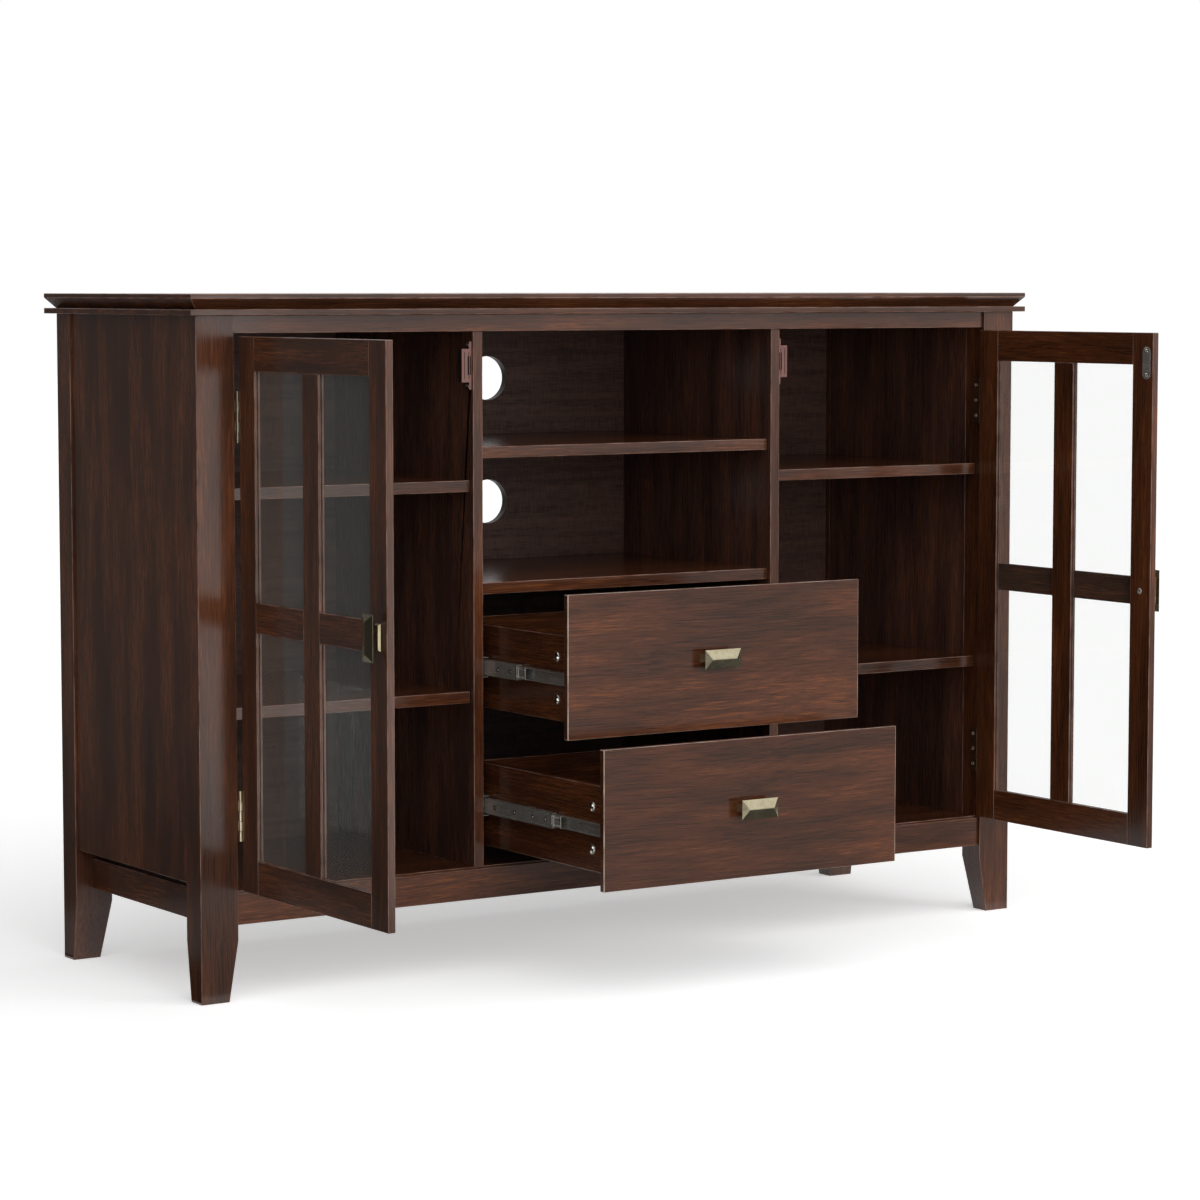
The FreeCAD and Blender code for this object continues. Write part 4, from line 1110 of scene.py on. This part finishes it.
@dataclass
class Drawer:
    """One drawer on its telescopic slides, drawn out."""

    level: Level
    arris_mm: float = 0.8
    front_arris_mm: float = 1.1
    # Height of a cam lock's head in the solid part; its cap is domed a little higher.
    lock_head_mm: float = 2.5
    # The pull's screw is longer than this many times its own width, and a cam lock is as wide as it is high.
    screw_slimness: float = 1.3
    # Stamped rivets along the middle member, counted back from its front end.
    rivets_mm: tuple[float, ...] = (16.0, 46.0, 91.0, 140.0)
    # The ball cage reaches this far out of the middle member, and its end bars lie this far inside its ends.
    cage_mm: float = 18.0
    cage_inset_mm: float = 1.0
    ball_rows_mm: tuple[float, ...] = (-5.2, 5.2)
    first_ball_mm: float = 2.5
    ball_pitch_mm: float = 4.2
    ball_count: int = 4

    @property
    def name(self) -> str:
        """The drawer's body."""
        return f"{self.level.value}_drawer"

    def build(self) -> None:
        """Set the cam-lock caps, the pull's screw and the stampings of the slides."""
        locks, large = [], []
        node = f"{self.name}_fixings"
        for box in islands(node):
            size = box[1] - box[0]
            if size.y > self.screw_slimness * size.z:
                large.append(head_seat(box, 1, 1, PULL_SCREW.height_mm))
            else:
                outward = 1 if box[0].x > 0 else -1
                locks.append(head_seat(box, 0, outward, self.lock_head_mm))
        caps = CAM_LOCK.build(f"{self.name}_cam_lock_caps", locks, self.name, slot_of(node))
        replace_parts(caps, node)
        PULL_SCREW.build(f"{self.name}_pull_screw_head", large, self.name, "zinc_steel")
        PULL.build(f"{self.name}_pull", self.name, -1)
        self.build_stampings()

    @staticmethod
    def outer_face(low: Vector, high: Vector) -> tuple[Vector, Vector]:
        """Find the outer face of a slide member.

        Args:
            low: the member's lowest corner.
            high: its highest corner.

        Returns:
            The middle of the face's front end, and the way that the face looks.
        """
        outward = 1 if low.x > 0 else -1
        face = high.x if outward > 0 else low.x
        return Vector((face, low.y, (low.z + high.z) / 2)), Vector((outward, 0, 0))

    def build_stampings(self) -> None:
        """Set rivets, each on a dark disc of painted shade, and stops on the middle members, and balls and
        cage ends on the retainers.
        """
        middle = f"{self.level.value}_middle_members"
        inner = f"{self.name}_slide_members"
        on_middle, stops, cages, balls = [], [], [], []
        members = islands(middle)
        front = min(low.y for low, _ in members)
        for low, high in members:
            end, outward = self.outer_face(low, high)
            for back in self.rivets_mm:
                on_middle.append(Seat(Vector((end.x, front + back * MM, end.z)), outward))
            stops.append(Vector((end.x, front + END_STOP.size_mm[1] / 2 * MM, end.z)))
        for low, high in islands(inner):
            end, outward = self.outer_face(low, high)
            for ahead in (self.cage_inset_mm, self.cage_mm - self.cage_inset_mm):
                cages.append(Vector((end.x, front - ahead * MM, end.z)))
            for row in self.ball_rows_mm:
                for index in range(self.ball_count):
                    ahead = self.first_ball_mm + index * self.ball_pitch_mm
                    balls.append(Seat(Vector((end.x, front - ahead * MM, end.z + row * MM)), outward))
        carrier = f"{self.level.value}_slide_middles"
        HOLE_SHADE_DISC.build(f"{self.level.value}_middle_dimples", on_middle, carrier, slot_of(middle))
        RIVET.build(f"{self.level.value}_middle_rivets", on_middle, carrier, "bright_steel")
        END_STOP.build(f"{self.level.value}_middle_stops", stops, carrier, "bright_steel")
        CAGE_END.build(f"{self.name}_cage_ends", cages, self.name, "bright_steel")
        BALL.build(f"{self.name}_retainer_balls", balls, self.name, "bright_steel")

    def dress(self) -> None:
        """Give the boards their grain and the rest its metal."""
        for part, grain in (("front", Grain.ACROSS), ("back", Grain.ACROSS), ("sides", Grain.DEEP)):
            worn = part == "front"
            # The front's edges take the paler arris, which is worn and also carries a painted highlight.
            coat(f"{self.name}_{part}", WalnutFoil(grain), DRAWER_ARRIS if worn else ARRIS)
            ease(f"{self.name}_{part}", self.front_arris_mm if worn else self.arris_mm, True)
        for part in ("bottom", "slide_members"):
            node = f"{self.name}_{part}"
            coat(node, SLOT_FINISH[slot_of(node)])
        coat(f"{self.level.value}_middle_members", ZINC_STEEL)
        LOG.info("%s dressed", self.name)


Point = tuple[float, float, float]


def panel(low: Point, high: Point) -> list[Point]:
    """Find the corners of a level or an upright panel.

    Args:
        low: one of its corners.
        high: the opposite corner, at the same height if the panel is level.

    Returns:
        Its four corners in order.
    """
    (x0, y0, z0), (x1, y1, z1) = low, high
    if z0 == z1:
        return [(x0, y0, z0), (x1, y0, z0), (x1, y1, z0), (x0, y1, z0)]
    return [(x0, y0, z0), (x1, y1, z0), (x1, y1, z1), (x0, y0, z1)]


@dataclass(frozen=True)
class Card:
    """A card that glows though it is no lamp and only shows in gloss, as a photographer sets one up to shape a
    reflection; what it puts in the reflections is painted light and shade.
    """

    name: str
    # The corners of its panels, four for each.
    points: list[Point]
    # How bright it is at the two ends of a fade along Y.
    grey: tuple[float, float]
    fade: tuple[float, float] = (0.0, 1.0)

    def build(self) -> None:
        """Set the card up on the stage."""
        mesh = bpy.data.meshes.new(self.name)
        panels = [tuple(range(first, first + 4)) for first in range(0, len(self.points), 4)]
        mesh.from_pydata(self.points, [], panels)
        card = bpy.data.objects.new(self.name, mesh)
        bpy.context.scene.collection.objects.link(card)
        card.visible_camera = False
        card.visible_diffuse = False
        card.visible_shadow = False
        material = bpy.data.materials.new(self.name)
        material.use_nodes = True
        tree = material.node_tree
        tree.nodes.remove(tree.nodes["Principled BSDF"])
        place = add(tree, "ShaderNodeSeparateXYZ", {0: add(tree, "ShaderNodeTexCoord").outputs["Object"]})
        (start, end), (first, last) = self.fade, self.grey
        shade = add(tree, "ShaderNodeMapRange", {0: place.outputs[1], 1: start, 2: end, 3: first, 4: last})
        glow = add(tree, "ShaderNodeEmission", {"Strength": shade.outputs[0]})
        clear = add(tree, "ShaderNodeBsdfTransparent")
        mirrored = add(tree, "ShaderNodeLightPath").outputs["Glossy Depth"]
        both = add(tree, "ShaderNodeMixShader", {0: mirrored, 1: clear.outputs[0], 2: glow.outputs[0]})
        tree.links.new(both.outputs[0], tree.nodes["Material Output"].inputs["Surface"])
        mesh.materials.append(material)


# Cards that lie on the floor are a few millimetres apart in height, so that no two share a plane.
CARDS = (
    # The wall and the floor on the left, which the left side and its door mirror, darken towards the front.
    Card(
        "side_card",
        panel((-3.0, -3.2, 0.0), (-3.0, 14.0, 4.0)) + panel((-3.0, -0.4, 0.003), (-0.66, 14.0, 0.003)),
        (0.017, 0.11), (0.0, 2.5),
    ),
    # The floor in front, which the rails and the drawer fronts mirror; it darkens towards the stand as a
    # painted shadow of the stand.
    Card(
        "floor_card",
        [(0.18, -1.2, 0.004), (11.1, -20.0, 0.004), (17.05, -20.0, 0.004), (1.57, -1.2, 0.004),
         (-0.64, -1.2, 0.004), (1.57, -1.2, 0.004), (0.63, -0.05, 0.004), (-0.64, -0.05, 0.004)],
        (0.2, 0.48), (-0.1, -1.0),
    ),
    # Dark patches for the floor in shade under the drawers, and a dark wall on the right, for the shaded
    # facets of the pulls: painted shadow in their reflection.
    Card(
        "dark_card",
        panel((0.1, -0.57, 0.006), (0.32, -0.43, 0.006)) + panel((0.29, -0.69, 0.006), (0.51, -0.54, 0.006))
        + panel((1.6, -0.9, 0.0), (1.6, 0.6, 1.5)),
        (0.08, 0.08),
    ),
    # A wall and two patches of floor on the left, for the other facets of the pulls.
    Card(
        "pull_card",
        panel((-2.4, -3.6, 0.0), (-0.6, -3.6, 1.8)) + panel((-2.0, -3.6, 0.004), (-0.35, -1.7, 0.004))
        + panel((-1.05, 0.25, 0.006), (-0.66, 0.68, 0.006)),
        (0.18, 0.3), (-1.85, -3.6),
    ),
    # A strip of floor to the right of the floor card, for the right leg.
    Card(
        "leg_card",
        [(0.63, -0.05, 0.004), (1.57, -1.2, 0.004), (1.85, -1.2, 0.004), (0.78, -0.05, 0.004),
         (1.57, -1.2, 0.004), (17.05, -20.0, 0.004), (19.5, -20.0, 0.004), (1.85, -1.2, 0.004)],
        (0.5, 0.5),
    ),
    # A bright upright strip that puts a painted highlight on the left front post.
    Card("post_card", panel((-0.13, -1.1, 0.0), (-0.02, -1.1, 0.95)), (2.3, 2.3)),
    # A bright patch beside the drawers that puts painted glints on the cam locks.
    Card("spark_card", panel((-0.55, -0.38, 0.24), (-0.55, -0.08, 0.42)), (1.6, 1.6)),
)


@dataclass
class Studio:
    """A white floor, a soft key light from the front right, an even room and the camera."""

    eye: tuple[float, float, float] = (-2.7517, -4.10665, 0.9093)
    yaw_deg: float = 33.43
    pitch_deg: float = 4.92
    lens_mm: float = 109.33
    sensor_mm: float = 36.0
    floor_m: float = 60.0
    floor_white: str = "#ffffff"
    floor_bounce: str = "#b4b4b4"
    floor_glow: float = 0.42
    floor_roughness: float = 0.9
    # The room is a broad soft wall of light in front, a little to the right, that falls off towards the back.
    room_low: float = 0.1
    room_mean: float = 0.05
    room_slope: float = 1.62
    room_front: tuple[float, float, float] = (0.08, -0.91, 0.4)
    key_watts: float = 14.0
    key_size_m: tuple[float, float] = (0.9, 0.9)
    key_place: tuple[float, float, float] = (2.4, -3.0, 1.3)
    front_watts: float = 38.0
    front_size_m: tuple[float, float] = (2.2, 1.6)
    front_place: tuple[float, float, float] = (-0.7, -4.4, 0.9)
    aim: tuple[float, float, float] = (0.0, 0.0, 0.45)

    def camera(self) -> None:
        """Stand the camera at the viewing angle."""
        lens = bpy.data.cameras.new("camera")
        lens.lens = self.lens_mm
        lens.sensor_width = self.sensor_mm
        lens.sensor_fit = "HORIZONTAL"
        eye = bpy.data.objects.new("camera", lens)
        eye.location = self.eye
        eye.rotation_euler = (math.radians(90 - self.pitch_deg), 0.0, math.radians(-self.yaw_deg))
        bpy.context.scene.collection.objects.link(eye)
        bpy.context.scene.camera = eye

    def seen(self, tree: bpy.types.NodeTree) -> bpy.types.NodeSocket:
        """A factor that is 1 for what the camera, metal and glass see, and 0 for light on surfaces.

        Args:
            tree: the node tree that needs it.

        Returns:
            The factor's socket.
        """
        path = add(tree, "ShaderNodeLightPath").outputs
        sharp = add(
            tree, "ShaderNodeMath", {0: path["Is Camera Ray"], 1: path["Is Glossy Ray"]}, operation="MAXIMUM"
        )
        return add(
            tree, "ShaderNodeMath", {0: sharp.outputs[0], 1: path["Is Transmission Ray"]}, operation="MAXIMUM"
        ).outputs[0]

    def world(self) -> None:
        """An even room: white where it is seen, and dimmer as light."""
        world = bpy.data.worlds.new("room")
        world.use_nodes = True
        bpy.context.scene.world = world
        tree = world.node_tree
        where = add(tree, "ShaderNodeTexCoord").outputs["Generated"]
        front = add(tree, "ShaderNodeVectorMath", {0: where, 1: self.room_front}, operation="DOT_PRODUCT")
        turn = (self.room_low - self.room_mean) / self.room_slope
        peak = self.room_mean + self.room_slope
        wall = add(
            tree, "ShaderNodeMapRange", {0: front.outputs["Value"], 1: turn, 2: 1.0, 3: self.room_low, 4: peak}
        )
        strength = add(
            tree, "ShaderNodeMix", {0: self.seen(tree), 2: wall.outputs[0], 3: 1.0}, data_type="FLOAT"
        )
        tree.links.new(strength.outputs[0], tree.nodes["Background"].inputs["Strength"])
        tree.nodes["Background"].inputs["Color"].default_value = (1.0, 1.0, 1.0, 1.0)

    def floor(self) -> None:
        """A white floor that keeps the object's shadow."""
        half = self.floor_m / 2
        mesh = bpy.data.meshes.new("floor")
        mesh.from_pydata(panel((-half, -half, 0.0), (half, half, 0.0)), [], [(0, 1, 2, 3)])
        floor = bpy.data.objects.new("floor", mesh)
        bpy.context.scene.collection.objects.link(floor)
        material, tree, shader, _ = blank("white_studio_floor")
        seen = self.seen(tree)
        paint = add(
            tree, "ShaderNodeMix",
            {0: seen, 6: linear(self.floor_bounce), 7: linear(self.floor_white)}, data_type="RGBA",
        )
        tree.links.new(paint.outputs[2], shader.inputs["Base Color"])
        shader.inputs["Roughness"].default_value = self.floor_roughness
        shader.inputs["Specular IOR Level"].default_value = 0.0
        shader.inputs["Emission Color"].default_value = (1.0, 1.0, 1.0, 1.0)
        glow = add(tree, "ShaderNodeMath", {0: seen, 1: self.floor_glow}, operation="MULTIPLY")
        tree.links.new(glow.outputs[0], shader.inputs["Emission Strength"])
        mesh.materials.append(material)

    def lamp(
        self, name: str, watts: float, size: tuple[float, float], place: tuple[float, float, float]
    ) -> None:
        """Hang one soft light that lights surfaces but isn't mirrored in them.

        Args:
            name: the light's name.
            watts: its power.
            size: its width and height.
            place: where it hangs.
        """
        light = bpy.data.lights.new(name, "AREA")
        light.shape = "RECTANGLE"
        light.size, light.size_y = size
        light.energy = watts
        lamp = bpy.data.objects.new(name, light)
        lamp.location = place
        lamp.rotation_euler = (Vector(self.aim) - Vector(place)).to_track_quat("-Z", "Y").to_euler()
        lamp.visible_glossy = False
        bpy.context.scene.collection.objects.link(lamp)

    def build(self) -> None:
        """Set up the studio."""
        bpy.context.scene.view_settings.view_transform = "Standard"
        self.camera()
        self.world()
        self.floor()
        self.lamp("key", self.key_watts, self.key_size_m, self.key_place)
        self.lamp("front", self.front_watts, self.front_size_m, self.front_place)
        for card in CARDS:
            card.build()
        LOG.info("studio set")


def main() -> None:
    """Dress the tv stand and set it in the studio."""
    logging.basicConfig(level=logging.INFO, format="%(name)s: %(message)s")
    Studio().build()
    pieces: list[Carcass | GlassDoor | Drawer] = [Carcass()]
    pieces += [GlassDoor(side) for side in Side]
    pieces += [Drawer(level) for level in Level]
    for piece in pieces:
        piece.build()
        piece.dress()


if __name__ == "__main__":
    main()
